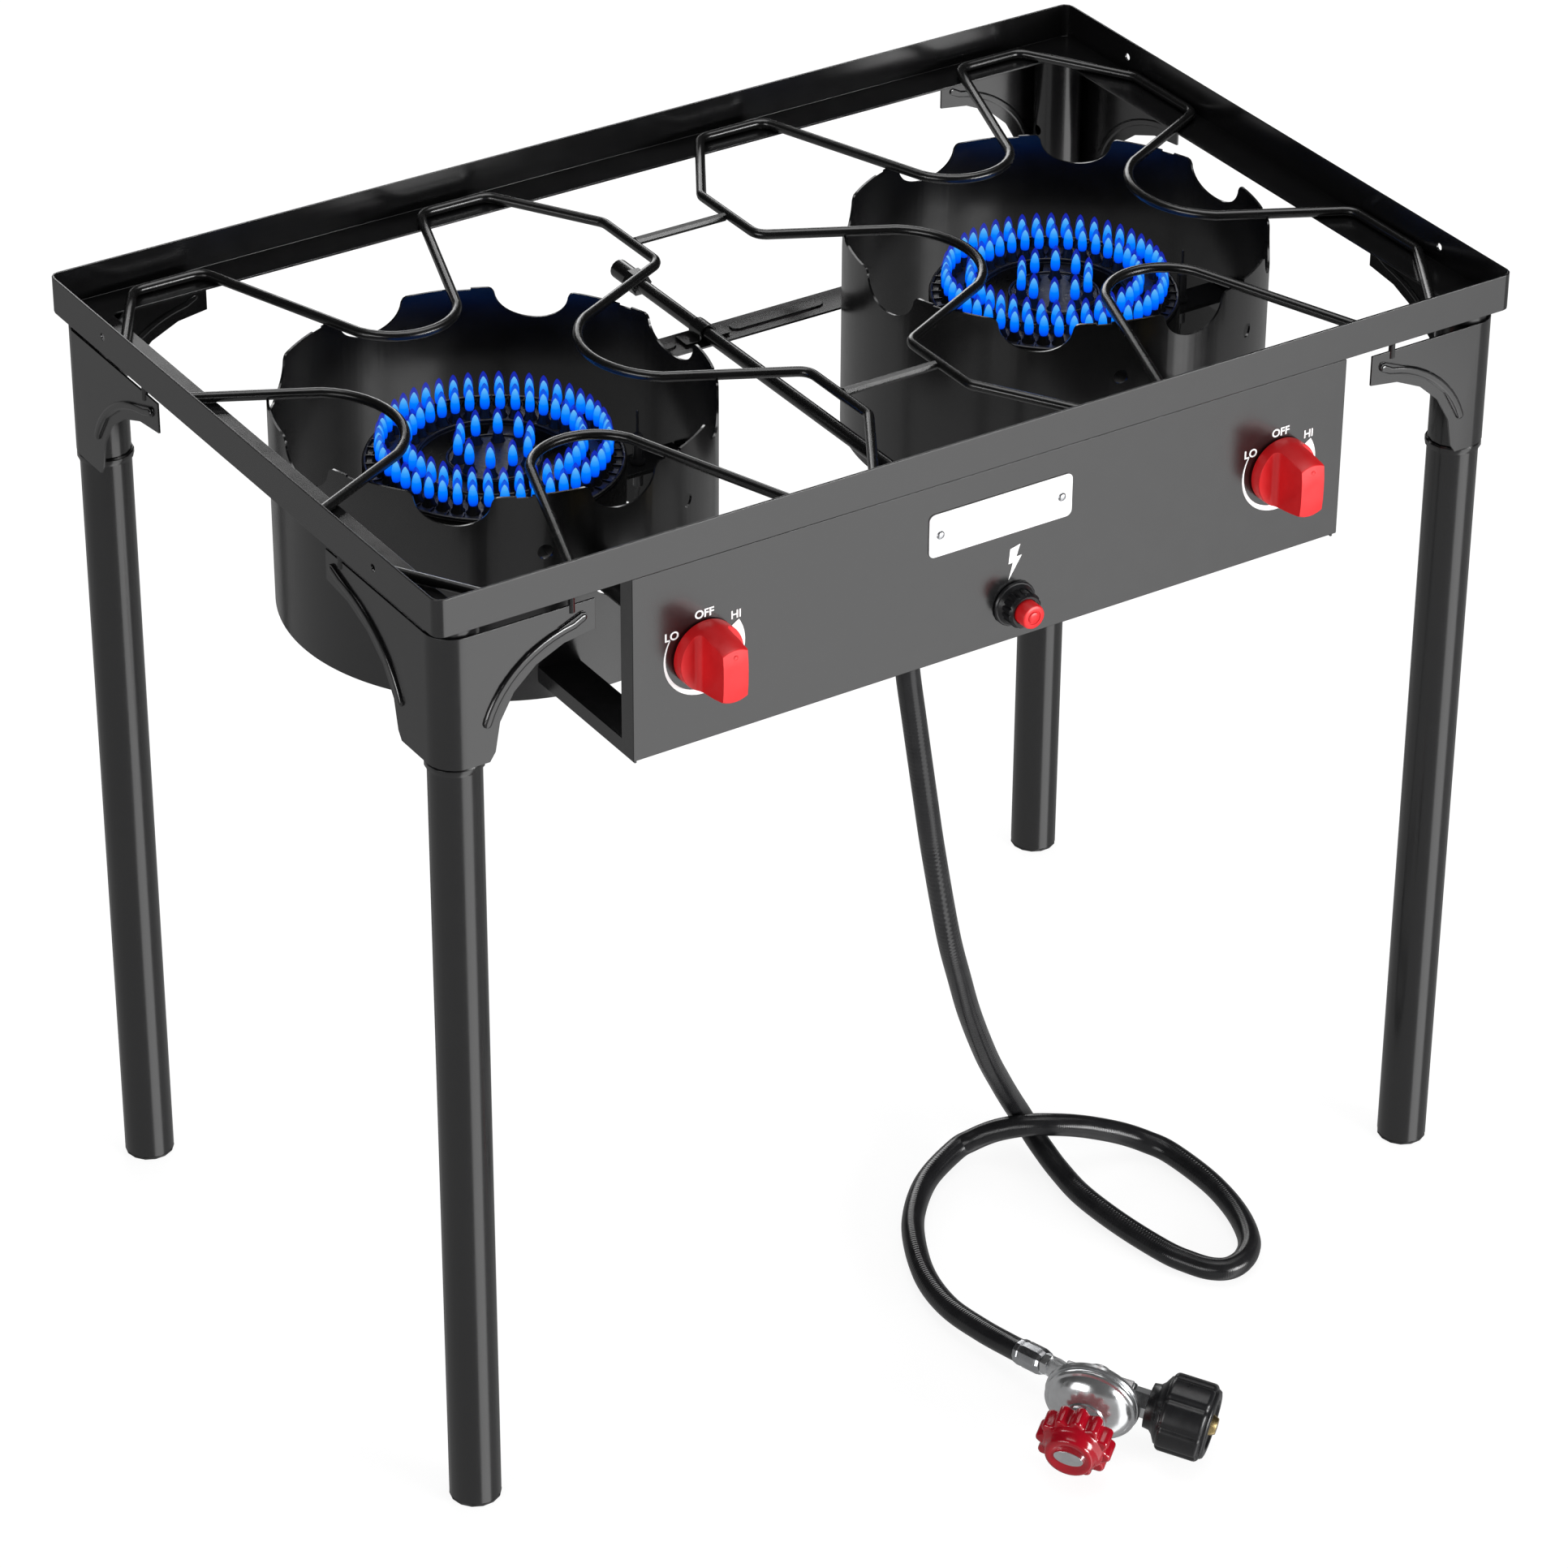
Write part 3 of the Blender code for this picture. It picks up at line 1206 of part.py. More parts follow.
def build_hose():
    at = (HOSE_BRANCH_X, -MANIFOLD_Y, 0)
    top = HOSE_BRANCH_LOW - GAP
    low = top - HOSE_FITTING_LENGTH
    fitting = [
        (0.0, top),
        (0.0078, top),
        (0.0088, top - 0.001),
        (0.0088, top - 0.011),
        (0.0080, top - 0.012),
        (0.0096, top - 0.0125),
        (0.0096, low),
        (0.0, low),
    ]
    turned("hose_fitting", fitting, 16, look="brass", at=at)
    line = even_route(HOSE_ROUTE, 76)
    rod("hose", line, HOSE_RADIUS, 2, look="hose_rubber")

    end = line[-1]
    aim = (end - line[-2]).normalized()
    sleeve = [
        (0.0, 0.025),
        (0.0086, 0.025),
        (0.0092, 0.024),
        (0.0092, 0.019),
        (0.0086, 0.018),
        (0.0092, 0.017),
        (0.0092, 0.001),
        (0.0088, 0.0),
        (0.0, 0.0),
    ]
    turn = Vector((0, 0, 1)).rotation_difference(aim).to_matrix()
    turned("hose_ferrule", sleeve, 14, turn=turn, look="steel", at=end + aim * GAP)
    return end + aim * (0.025 + GAP), aim


def build_regulator(port_end, port_aim):
    inlet = REGULATOR_INLET.normalized()
    knob_axis = (REGULATOR_KNOB - inlet * REGULATOR_KNOB.dot(inlet)).normalized()
    third = knob_axis.cross(inlet)
    turn = Matrix((inlet, third, knob_axis)).transposed()
    frame = bpy.data.objects.new("regulator_origin", None)
    stove.objects.link(frame)
    place(frame, "regulator_origin", at=REGULATOR_CENTRE, turn=turn)

    body = turned(
        "regulator_body",
        [
            (0.0, 0.0150),
            (0.0150, 0.0145),
            (0.0250, 0.0110),
            (0.0285, 0.0050),
            (0.0320, 0.0045),
            (0.0320, -0.0035),
            (0.0285, -0.0045),
            (0.0270, -0.0090),
            (0.0200, -0.0120),
            (0.0, -0.0125),
        ],
        24,
        look="die_cast",
        parent=frame,
    )
    neck = [(0.0, 0.0270), (0.0110, 0.0270), (0.0120, 0.0260), (0.0120, 0.0100), (0.0, 0.0100)]
    back = -0.0120
    to_port = turn.transposed() @ (port_end + port_aim * GAP - REGULATOR_CENTRE)
    port_dir = turn.transposed() @ port_aim
    bend = to_port + port_dir * 0.0125
    elbow = to_port + port_dir * 0.006
    join(
        body,
        turned("regulator_neck", neck, 18, parent=frame),
        cylinder("regulator_passage", (-0.024, 0, back), (0.026, 0, back), 0.0105, 14, parent=frame),
        cylinder("regulator_inlet", (0.020, 0, back), (0.0360, 0, back), 0.0098, 6, parent=frame),
        cylinder("regulator_port", to_port, bend, 0.0078, 14, parent=frame),
        cylinder("regulator_elbow", elbow, (-0.012, 0, back + 0.002), 0.0074, 12, parent=frame),
    )
    spindle = cylinder("regulator_spindle", (0, 0, 0.024), (0, 0, 0.034), 0.0050, 12, parent=frame)
    join(body, spindle)

    flutes = []
    for i in range(36):
        angle = math.radians(10 * i)
        radius = 0.0250 + 0.0006 * math.cos(angle * 12)
        flutes.append((radius * math.cos(angle), radius * math.sin(angle)))
    knob = flat_outline("regulator_knob", [flutes], 0.0273, 0.0520, look="red_plastic", parent=frame)
    cut(
        knob,
        cylinder("regulator_knob_bore", (0, 0, 0.02), (0, 0, 0.0345), 0.0054, 12, parent=frame),
        cylinder("regulator_knob_skirt", (0, 0, 0.02), (0, 0, 0.0300), 0.0128, 18, parent=frame),
    )

    nipple = [
        (0.0, 0.0820),
        (0.0055, 0.0820),
        (0.0070, 0.0790),
        (0.0080, 0.0740),
        (0.0080, 0.0700),
        (0.0065, 0.0690),
        (0.0065, 0.0365),
        (0.0, 0.0365),
    ]
    across = Matrix(((0, 0, 1), (0, 1, 0), (-1, 0, 0)))  # local Z along the inlet
    at = (0, 0, back)
    turned("inlet_nipple", nipple, 14, turn=across, look="brass", parent=frame, at=at)
    lobes = []
    for i in range(32):
        angle = math.radians(11.25 * i)
        radius = 0.0255 + 0.0012 * math.cos(angle * 8)
        lobes.append((radius * math.cos(angle), radius * math.sin(angle)))
    look = "black_plastic"
    nut = flat_outline("tank_nut", [lobes], 0.0370, 0.0770, turn=across, look=look, parent=frame, at=at)
    bore = turned(
        "tank_nut_bore",
        [(0.0, 0.09), (0.0165, 0.09), (0.0165, 0.0560), (0.0068, 0.0560), (0.0068, 0.03), (0.0, 0.03)],
        18,
        turn=across,
        parent=frame,
        at=at,
    )
    cut(nut, bore)


# ---- build --------------------------------------------------------------------------------------
CORNERS = (
    ("front_left", -1, -1),
    ("front_right", 1, -1),
    ("rear_left", -1, 1),
    ("rear_right", 1, 1),
)

build_tray()
build_grate()
for corner_name, corner_x, corner_y in CORNERS:
    build_corner(corner_name, corner_x, corner_y)
    build_leg(corner_name, corner_x, corner_y)
build_panel()
build_panel_arms()
build_guards()
build_burners()
build_valves()
build_manifold()
build_strap()
build_igniter()
ferrule_end, ferrule_aim = build_hose()
build_regulator(ferrule_end, ferrule_aim)
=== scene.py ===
import json
import math

import bmesh
import bpy
from mathutils import Matrix, Vector

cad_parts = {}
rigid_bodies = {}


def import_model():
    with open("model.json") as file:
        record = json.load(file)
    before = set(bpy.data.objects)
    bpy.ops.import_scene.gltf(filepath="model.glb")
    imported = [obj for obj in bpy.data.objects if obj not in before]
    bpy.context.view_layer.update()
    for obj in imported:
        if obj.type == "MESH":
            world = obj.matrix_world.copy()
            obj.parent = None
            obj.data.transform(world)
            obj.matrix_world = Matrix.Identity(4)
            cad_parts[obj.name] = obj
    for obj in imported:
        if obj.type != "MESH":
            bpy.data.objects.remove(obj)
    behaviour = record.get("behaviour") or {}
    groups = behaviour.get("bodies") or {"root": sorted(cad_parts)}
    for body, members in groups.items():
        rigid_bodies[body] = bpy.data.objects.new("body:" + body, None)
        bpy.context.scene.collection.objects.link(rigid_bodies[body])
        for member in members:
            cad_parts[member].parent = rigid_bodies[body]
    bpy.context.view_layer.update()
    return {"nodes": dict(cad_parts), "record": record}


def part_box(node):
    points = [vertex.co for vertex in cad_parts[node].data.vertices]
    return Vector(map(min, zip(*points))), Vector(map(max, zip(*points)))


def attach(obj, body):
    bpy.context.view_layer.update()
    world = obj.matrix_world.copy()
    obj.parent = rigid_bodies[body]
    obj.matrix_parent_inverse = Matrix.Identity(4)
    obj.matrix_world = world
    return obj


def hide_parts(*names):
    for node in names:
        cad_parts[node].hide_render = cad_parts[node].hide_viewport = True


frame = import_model()

tray_low, tray_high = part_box("tray_frame")
MID_Y = (tray_low[1] + tray_high[1]) / 2
BURNER_X = 0.216
KNOB_Z = 0.590
PANEL_FACE = tray_low[1]
BURNER_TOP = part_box("burner_left")[1][2]
BOX_TURN, BOX_HALF, BOX_SOFT = -69.0, 22.0, 3.0  # where the soft box stands, in degrees round +Z
BOX_LEVEL, LOW_LEVEL, HIGH_LEVEL, EVEN_LEVEL = 1.55, 0.30, 0.012, 0.35
TO_FRONT = Matrix(((1, 0, 0), (0, 0, -1), (0, 1, 0))).to_4x4()  # a piece's own +Z faces the user


# ---- bench tools --------------------------------------------------------------------------------
def deselect():
    if bpy.context.object and bpy.context.object.mode != "OBJECT":
        bpy.ops.object.mode_set(mode="OBJECT")
    bpy.ops.object.select_all(action="DESELECT")


def pick_up(piece):
    deselect()
    piece.select_set(True)
    bpy.context.view_layer.objects.active = piece


def named(name):
    piece = bpy.context.object
    piece.name = name
    piece.data.name = name
    bpy.ops.object.transform_apply(location=True, rotation=True, scale=True)
    return piece


def block(name, size, at):
    deselect()
    bpy.ops.mesh.primitive_cube_add(size=1, location=at, scale=size)
    return named(name)


def drawn_up(name, rings, sides=32):
    """A round piece drawn up from a disc, ring by ring; each ring is its radius and height."""
    deselect()
    radius, height = rings[0]
    bpy.ops.mesh.primitive_circle_add(
        vertices=sides, radius=radius, fill_type="NGON", location=(0, 0, height)
    )
    piece = named(name)
    bpy.ops.object.mode_set(mode="EDIT")
    bpy.ops.mesh.select_all(action="SELECT")
    for wide, high in rings[1:]:
        bpy.ops.mesh.extrude_region_move(TRANSFORM_OT_translate={"value": (0, 0, high - height)})
        share = wide / radius
        bpy.ops.transform.resize(value=(share, share, 1), center_override=(0, 0, high))
        radius, height = wide, high
    bpy.ops.mesh.select_all(action="SELECT")
    bpy.ops.mesh.normals_make_consistent(inside=False)
    bpy.ops.object.mode_set(mode="OBJECT")
    return piece


def curve_piece(name, points, closed, **settings):
    """A mesh made from a curve that runs straight from point to point."""
    data = bpy.data.curves.new(name, "CURVE")
    for key, value in settings.items():
        setattr(data, key, value)
    spline = data.splines.new("POLY")
    spline.points.add(len(points) - 1)
    for point, place in zip(spline.points, points):
        point.co = (*place, 1)
    spline.use_cyclic_u = closed
    piece = bpy.data.objects.new(name, data)
    bpy.context.collection.objects.link(piece)
    pick_up(piece)
    bpy.ops.object.convert(target="MESH")
    return bpy.context.object


def choose(piece, kind, wanted):
    """Opens the piece for editing with only the wanted faces, edges or points selected."""
    pick_up(piece)
    bpy.ops.object.mode_set(mode="EDIT")
    bpy.ops.mesh.select_mode(type={"faces": "FACE", "edges": "EDGE", "verts": "VERT"}[kind])
    bpy.ops.mesh.select_all(action="DESELECT")
    mesh = bmesh.from_edit_mesh(piece.data)
    for item in getattr(mesh, kind):
        if wanted(item):
            item.select_set(True)
    mesh.select_flush_mode()
    bmesh.update_edit_mesh(piece.data)


def close_edit():
    bpy.ops.object.mode_set(mode="OBJECT")


def middle(edge):
    return (edge.verts[0].co + edge.verts[1].co) / 2


def put(piece, spot):
    pick_up(piece)
    piece.matrix_world = spot
    bpy.ops.object.transform_apply(location=True, rotation=True, scale=True)
    return piece


def copy_of(piece, name):
    pick_up(piece)
    bpy.ops.object.duplicate(linked=False)
    twin = bpy.context.object
    twin.name = name
    twin.data.name = name
    return twin


def carve(piece, cutter, how="DIFFERENCE"):
    pick_up(piece)
    step = piece.modifiers.new("carve", "BOOLEAN")
    step.operation = how
    step.solver = "EXACT"
    step.object = cutter
    bpy.ops.object.modifier_apply(modifier="carve")
    bpy.data.objects.remove(cutter)


def weld_together(pieces, name):
    deselect()
    for piece in pieces:
        piece.select_set(True)
    bpy.context.view_layer.objects.active = pieces[0]
    bpy.ops.object.join()
    pieces[0].name = name
    pieces[0].data.name = name
    return pieces[0]


def round_edges(piece, width, steps=2, angle=35):
    pick_up(piece)
    step = piece.modifiers.new("rounded", "BEVEL")
    step.width = width
    step.segments = steps
    step.limit_method = "ANGLE"
    step.angle_limit = math.radians(angle)
    step.harden_normals = False
    bpy.ops.object.modifier_apply(modifier="rounded")


def repeat_round(piece, count, first=0.0):
    """Copies of the whole piece set round the Z axis."""
    pick_up(piece)
    bpy.ops.object.mode_set(mode="EDIT")
    bpy.ops.mesh.select_all(action="SELECT")
    turn = 2 * math.pi * (count - 1) / count
    bpy.ops.mesh.spin(steps=count - 1, dupli=True, angle=turn, center=(0, 0, 0), axis=(0, 0, 1))
    bpy.ops.object.mode_set(mode="OBJECT")
    put(piece, Matrix.Rotation(first, 4, "Z"))


def finish(piece, look, body, angle=40):
    pick_up(piece)
    bpy.ops.object.shade_smooth_by_angle(angle=math.radians(angle))
    piece.data.materials.clear()
    piece.data.materials.append(look)
    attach(piece, body)
    return piece


def even_normals(piece):
    """Flat faces keep a flat shine beside their rounded edges."""
    pick_up(piece)
    step = piece.modifiers.new("even", "WEIGHTED_NORMAL")
    step.mode = "FACE_AREA"
    step.weight = 100
    step.keep_sharp = True
    bpy.ops.object.modifier_apply(modifier="even")


def body_of(node):
    for body, nodes in frame["record"]["behaviour"]["bodies"].items():
        if node in nodes:
            return body
    return "stand"


def redraw(node, look, width=0.0, angle=38, steps=2):
    """A welded copy of a CAD node with smooth shading and softened edges takes the node's place."""
    piece = copy_of(frame["nodes"][node], node + "_dressed")
    for key in list(piece.keys()):
        del piece[key]
    pick_up(piece)
    bpy.ops.object.parent_clear(type="CLEAR_KEEP_TRANSFORM")
    bpy.ops.object.mode_set(mode="EDIT")
    bpy.ops.mesh.select_all(action="SELECT")
    bpy.ops.mesh.remove_doubles(threshold=0.00002)
    bpy.ops.mesh.dissolve_limited(angle_limit=math.radians(1.0))
    bpy.ops.object.mode_set(mode="OBJECT")
    if width:
        round_edges(piece, width, steps, angle)
    finish(piece, look, body_of(node), angle)
    even_normals(piece)
    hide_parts(node)
    return piece


# ---- finishes -----------------------------------------------------------------------------------
class Finish:
    """One material with its nodes."""

    def __init__(self, name, colour, roughness, metallic=0.0):
        self.material = bpy.data.materials.new(name)
        self.material.use_nodes = True
        self.tree = self.material.node_tree
        self.shader = self.tree.nodes["Principled BSDF"]
        self.colour = colour
        self.shader.inputs["Base Color"].default_value = (*colour, 1)
        self.shader.inputs["Roughness"].default_value = roughness
        self.shader.inputs["Metallic"].default_value = metallic
        self.coordinates = self.add("ShaderNodeTexCoord")
        self.height = None

    def add(self, kind, **settings):
        node = self.tree.nodes.new(kind)
        for key, value in settings.items():
            setattr(node, key, value)
        return node

    def link(self, a, b):
        self.tree.links.new(a, b)

    def noise(self, scale, detail=2.0, stretch=None, space="Object"):
        grain = self.add("ShaderNodeTexNoise")
        grain.inputs["Scale"].default_value = scale
        grain.inputs["Detail"].default_value = detail
        source = self.coordinates.outputs[space]
        if stretch:
            aim = self.add("ShaderNodeMapping")
            aim.inputs["Scale"].default_value = stretch
            self.link(source, aim.inputs["Vector"])
            source = aim.outputs["Vector"]
        self.link(source, grain.inputs["Vector"])
        return grain.outputs["Fac"]

    def spread(self, value, low, high, start=0.3, end=0.7):
        ramp = self.add("ShaderNodeMapRange")
        ramp.inputs["From Min"].default_value = start
        ramp.inputs["From Max"].default_value = end
        ramp.inputs["To Min"].default_value = low
        ramp.inputs["To Max"].default_value = high
        self.link(value, ramp.inputs["Value"])
        return ramp.outputs["Result"]

    def tint(self, value, other):
        """Blends the main colour towards another where the value is high."""
        blend = self.add("ShaderNodeMix", data_type="RGBA")
        blend.inputs["A"].default_value = (*self.colour, 1)
        blend.inputs["B"].default_value = (*other, 1)
        self.link(value, blend.inputs["Factor"])
        self.link(blend.outputs["Result"], self.shader.inputs["Base Color"])

    def rough(self, value, low, high):
        self.link(self.spread(value, low, high), self.shader.inputs["Roughness"])

    def relief(self, value, strength, distance):
        bump = self.add("ShaderNodeBump")
        bump.inputs["Strength"].default_value = strength
        bump.inputs["Distance"].default_value = distance
        self.link(value, bump.inputs["Height"])
        if self.height:
            self.link(self.height, bump.inputs["Normal"])
        self.height = bump.outputs["Normal"]
        self.link(self.height, self.shader.inputs["Normal"])

    def set(self, **values):
        for key, value in values.items():
            self.shader.inputs[key.replace("_", " ")].default_value = value
        return self


def powder_coat(name, colour, rough_low, rough_high, shine=1.0):
    coat = Finish(name, colour, rough_low)
    cloud = coat.noise(9, 3)
    coat.tint(coat.spread(cloud, 0, 1), [c * 1.18 for c in colour])
    coat.rough(coat.noise(60, 3), rough_low, rough_high)
    coat.relief(coat.noise(900, 1), 0.03, 0.0002)
    coat.relief(coat.noise(2600, 2), 0.02, 0.0001)
    coat.set(Specular_IOR_Level=shine)
    return coat.material


def cast_metal(name, colour, roughness):
    iron = Finish(name, colour, roughness)
    iron.tint(iron.spread(iron.noise(70, 5), 0, 1), [c * 1.9 for c in colour])
    iron.rough(iron.noise(300, 3), roughness - 0.08, roughness + 0.12)
    iron.relief(iron.noise(420, 4), 0.35, 0.0004)
    iron.relief(iron.noise(1900, 3), 0.30, 0.0002)
    return iron.material


def machined(name, colour, roughness, stretch):
    metal = Finish(name, colour, roughness, metallic=1.0)
    lines = metal.noise(900, 2, stretch)
    metal.tint(metal.spread(metal.noise(160, 3), 0, 1), [c * 0.78 for c in colour])
    metal.rough(lines, roughness - 0.06, roughness + 0.14)
    metal.relief(lines, 0.10, 0.0001)
    return metal.material


def die_cast(name, colour):
    metal = Finish(name, colour, 0.25, metallic=0.9)
    metal.tint(metal.spread(metal.noise(130, 4), 0, 1), [c * 0.86 for c in colour])
    metal.rough(metal.noise(240, 4), 0.17, 0.23)
    metal.relief(metal.noise(500, 3), 0.02, 0.0002)
    metal.relief(metal.noise(2200, 2), 0.015, 0.0001)
    return metal.material


def moulded(name, colour, rough_low, rough_high, grain=0.05, coat=0.0):
    plastic = Finish(name, colour, rough_low)
    plastic.tint(plastic.spread(plastic.noise(45, 2), 0, 1), [min(1.0, c * 1.10 + 0.002) for c in colour])
    plastic.rough(plastic.noise(180, 3), rough_low, rough_high)
    plastic.relief(plastic.noise(2400, 2), grain, 0.0001)
    plastic.shader.inputs["Coat Weight"].default_value = coat
    plastic.shader.inputs["Coat Roughness"].default_value = 0.12
    return plastic.material


def hose_rubber():
    rubber = Finish("hose_rubber", (0.010, 0.010, 0.011), 0.24)
    split = rubber.add("ShaderNodeSeparateXYZ")
    rubber.link(rubber.coordinates.outputs["UV"], split.inputs["Vector"])
    wave = rubber.add("ShaderNodeMath", operation="MULTIPLY")
    wave.inputs[1].default_value = 2 * math.pi * 780
    rubber.link(split.outputs["X"], wave.inputs[0])
    crest = rubber.add("ShaderNodeMath", operation="SINE")
    rubber.link(wave.outputs["Value"], crest.inputs[0])
    rubber.tint(rubber.spread(rubber.noise(60, 3), 0, 1), (0.016, 0.016, 0.017))
    rubber.rough(rubber.noise(220, 3), 0.15, 0.25)
    rubber.relief(crest.outputs["Value"], 0.14, 0.0003)
    rubber.relief(rubber.noise(700, 2), 0.06, 0.0002)
    return rubber.material


def ramp_by_height(material, low, high, stops):
    """A colour ramp that follows the height above the ground."""
    place = material.add("ShaderNodeSeparateXYZ")
    material.link(material.coordinates.outputs["Object"], place.inputs["Vector"])
    share = material.spread(place.outputs["Z"], 0, 1, low, high)
    ramp = material.add("ShaderNodeValToRGB")
    first, last = ramp.color_ramp.elements
    first.position, first.color = stops[0]
    last.position, last.color = stops[-1]
    for position, colour in stops[1:-1]:
        stop = ramp.color_ramp.elements.new(position)
        stop.color = colour
    material.link(share, ramp.inputs["Fac"])
    return ramp.outputs["Color"], share


def flame_look(name, low, high, stops, strength, fade=None):
    flame = Finish(name, (0.0, 0.0, 0.0), 1.0)
    flame.set(Specular_IOR_Level=0.0)
    colour, share = ramp_by_height(flame, low, high, stops)
    flame.link(colour, flame.shader.inputs["Emission Color"])
    flame.shader.inputs["Emission Strength"].default_value = strength
    if fade:
        veil = flame.spread(share, fade[0], fade[1], 0.45, 1.0)
        flame.link(veil, flame.shader.inputs["Alpha"])
    return flame.material


FLAME_FOOT = BURNER_TOP + 0.0052
FLAME_TIP = FLAME_FOOT + 0.0185

black_coat = powder_coat("black_powder_coat", (0.0045, 0.0045, 0.0048), 0.19, 0.23)
# painted shade: a darker, less shiny copy of the black coat for the guards' inner faces, standing in for the
# shade inside them
painted_shade_coat = powder_coat("painted_shade_inner_coat", (0.0025, 0.0025, 0.0026), 0.20, 0.26, 0.6)
wire_coat = powder_coat("black_wire_enamel", (0.005, 0.005, 0.005), 0.24, 0.29)
cast_iron = cast_metal("cast_iron", (0.006, 0.006, 0.006), 0.34)
brass = machined("machined_brass", (0.72, 0.55, 0.26), 0.26, (1, 14, 1))
zinc = machined("zinc_plated_steel", (0.60, 0.61, 0.63), 0.28, (1, 12, 1))
alloy = die_cast("die_cast_alloy", (0.76, 0.77, 0.78))
knob_red = moulded("red_knob_plastic", (0.60, 0.007, 0.010), 0.34, 0.44)
gloss_red = moulded("glossy_red_plastic", (0.30, 0.002, 0.010), 0.12, 0.20, 0.02, 0.4)
black_plastic = moulded("black_moulded_plastic", (0.008, 0.008, 0.009), 0.26, 0.36)
foot_plastic = moulded("black_foot_plastic", (0.014, 0.014, 0.014), 0.50, 0.62, 0.15)
ceramic = moulded("glazed_ceramic", (0.030, 0.030, 0.032), 0.14, 0.22, 0.02, 0.3)
lead_cover = moulded("silicone_lead_cover", (0.020, 0.020, 0.021), 0.40, 0.5)
white_print = moulded("white_print", (0.83, 0.83, 0.83), 0.45, 0.55)
plate_white = moulded("white_enamel", (0.90, 0.90, 0.90), 0.28, 0.36, 0.02)
rubber = hose_rubber()
core_stops = [
    (0.00, (0.00, 0.035, 0.62, 1)),
    (0.20, (0.00, 0.100, 0.98, 1)),
    (0.50, (0.00, 0.215, 1.00, 1)),
    (0.70, (0.04, 0.400, 1.00, 1)),
    (0.86, (0.15, 0.620, 1.00, 1)),
    (0.96, (0.35, 0.820, 1.00, 1)),
    (1.00, (0.12, 0.520, 1.00, 1)),
]
flame_core = flame_look("flame_core", FLAME_FOOT, FLAME_TIP - 0.003, core_stops, 1.0)
veil_stops = [
    (0.00, (0.00, 0.10, 0.80, 1)),
    (0.60, (0.01, 0.06, 0.85, 1)),
    (1.00, (0.01, 0.02, 0.55, 1)),
]
flame_veil = flame_look("flame_veil", FLAME_FOOT, FLAME_TIP, veil_stops, 1.0, (0.0, 0.55))

NODE_LOOKS = [
    (("grate_",), wire_coat),
    (("foot_cap",), foot_plastic),
    (("burner_left", "burner_right", "venturi"), cast_iron),
    (("valve", "hose_fitting", "inlet_nipple"), brass),
    (("hose_ferrule", "air_shutter"), zinc),
    (("regulator_body",), alloy),
    (("knob_", "igniter_button"), knob_red),
    (("regulator_knob",), gloss_red),
    (("igniter_body", "igniter_nut", "tank_nut"), black_plastic),
    (("igniter_lead",), lead_cover),
    (("electrode",), ceramic),
    (("hose",), rubber),
]


def dress_nodes():
    for name, node in frame["nodes"].items():
        look = black_coat
        for starts, choice in NODE_LOOKS:
            if name.startswith(starts):
                look = choice
                break
        node.data.materials.clear()
        node.data.materials.append(look)


# ---- camera and hose ----------------------------------------------------------------------------
def set_camera():
    deselect()
    bpy.ops.object.camera_add(location=(-1.8152878, -2.8094555 + MID_Y, 2.3613086))
    camera = bpy.context.object
    right = Vector((0.84125137, -0.54061575, 0.00554405))
    down = Vector((-0.28026278, -0.44483976, -0.85062940))
    forward = Vector((0.46232987, 0.71403935, -0.52573653))
    camera.rotation_euler = Matrix((right, -down, -forward)).transposed().to_euler()
    camera.data.sensor_width = 36
    camera.data.lens = 133.1188
    bpy.context.scene.camera = camera


HOSE_ROUTE = (
    (-0.0550, -0.2320, 0.5445),
    (-0.0550, -0.2320, 0.5330),
    (-0.0550, -0.2320, 0.5174),
    (-0.0478, -0.2305, 0.4759),
    (-0.0346, -0.2245, 0.4143),
    (-0.0212, -0.2160, 0.3624),
    (0.0057, -0.1960, 0.2795),
    (0.0266, -0.1805, 0.2282),
    (0.0483, -0.1630, 0.1812),
    (0.0814, -0.1365, 0.1207),
    (0.1083, -0.1160, 0.0773),
    (0.1264, -0.1040, 0.0485),
    (0.1399, -0.0985, 0.0264),
    (0.1444, -0.1055, 0.0146),
    (0.1424, -0.1215, 0.0113),
    (0.1390, -0.1472, 0.0086),
    (0.1355, -0.1807, 0.0086),
    (0.1384, -0.2234, 0.0086),
    (0.1454, -0.2636, 0.0086),
    (0.1522, -0.2824, 0.0086),
    (0.1601, -0.2968, 0.0090),
    (0.1714, -0.3037, 0.0095),
    (0.1871, -0.2993, 0.0095),
    (0.2021, -0.2837, 0.0090),
    (0.2141, -0.2532, 0.0086),
    (0.2195, -0.2154, 0.0086),
    (0.2172, -0.1722, 0.0086),
    (0.2072, -0.1557, 0.0125),
    (0.1931, -0.1463, 0.0190),
    (0.1752, -0.1391, 0.0260),
    (0.1595, -0.1336, 0.0310),
    (0.1451, -0.1274, 0.0335),
    (0.1332, -0.1194, 0.0330),
    (0.1230, -0.1098, 0.0290),
    (0.1138, -0.0997, 0.0225),
    (0.1021, -0.0926, 0.0155),
    (0.0900, -0.0904, 0.0105),
    (0.0553, -0.1071, 0.0086),
    (0.0261, -0.1344, 0.0086),
    (0.0071, -0.1628, 0.0086),
    (-0.0093, -0.2012, 0.0086),
    (-0.0159, -0.2385, 0.0100),
    (-0.0139, -0.2745, 0.0130),
    (-0.0100, -0.3030, 0.0162),
    (-0.0087, -0.3129, 0.0178),
)
HOSE_RADIUS = 0.008


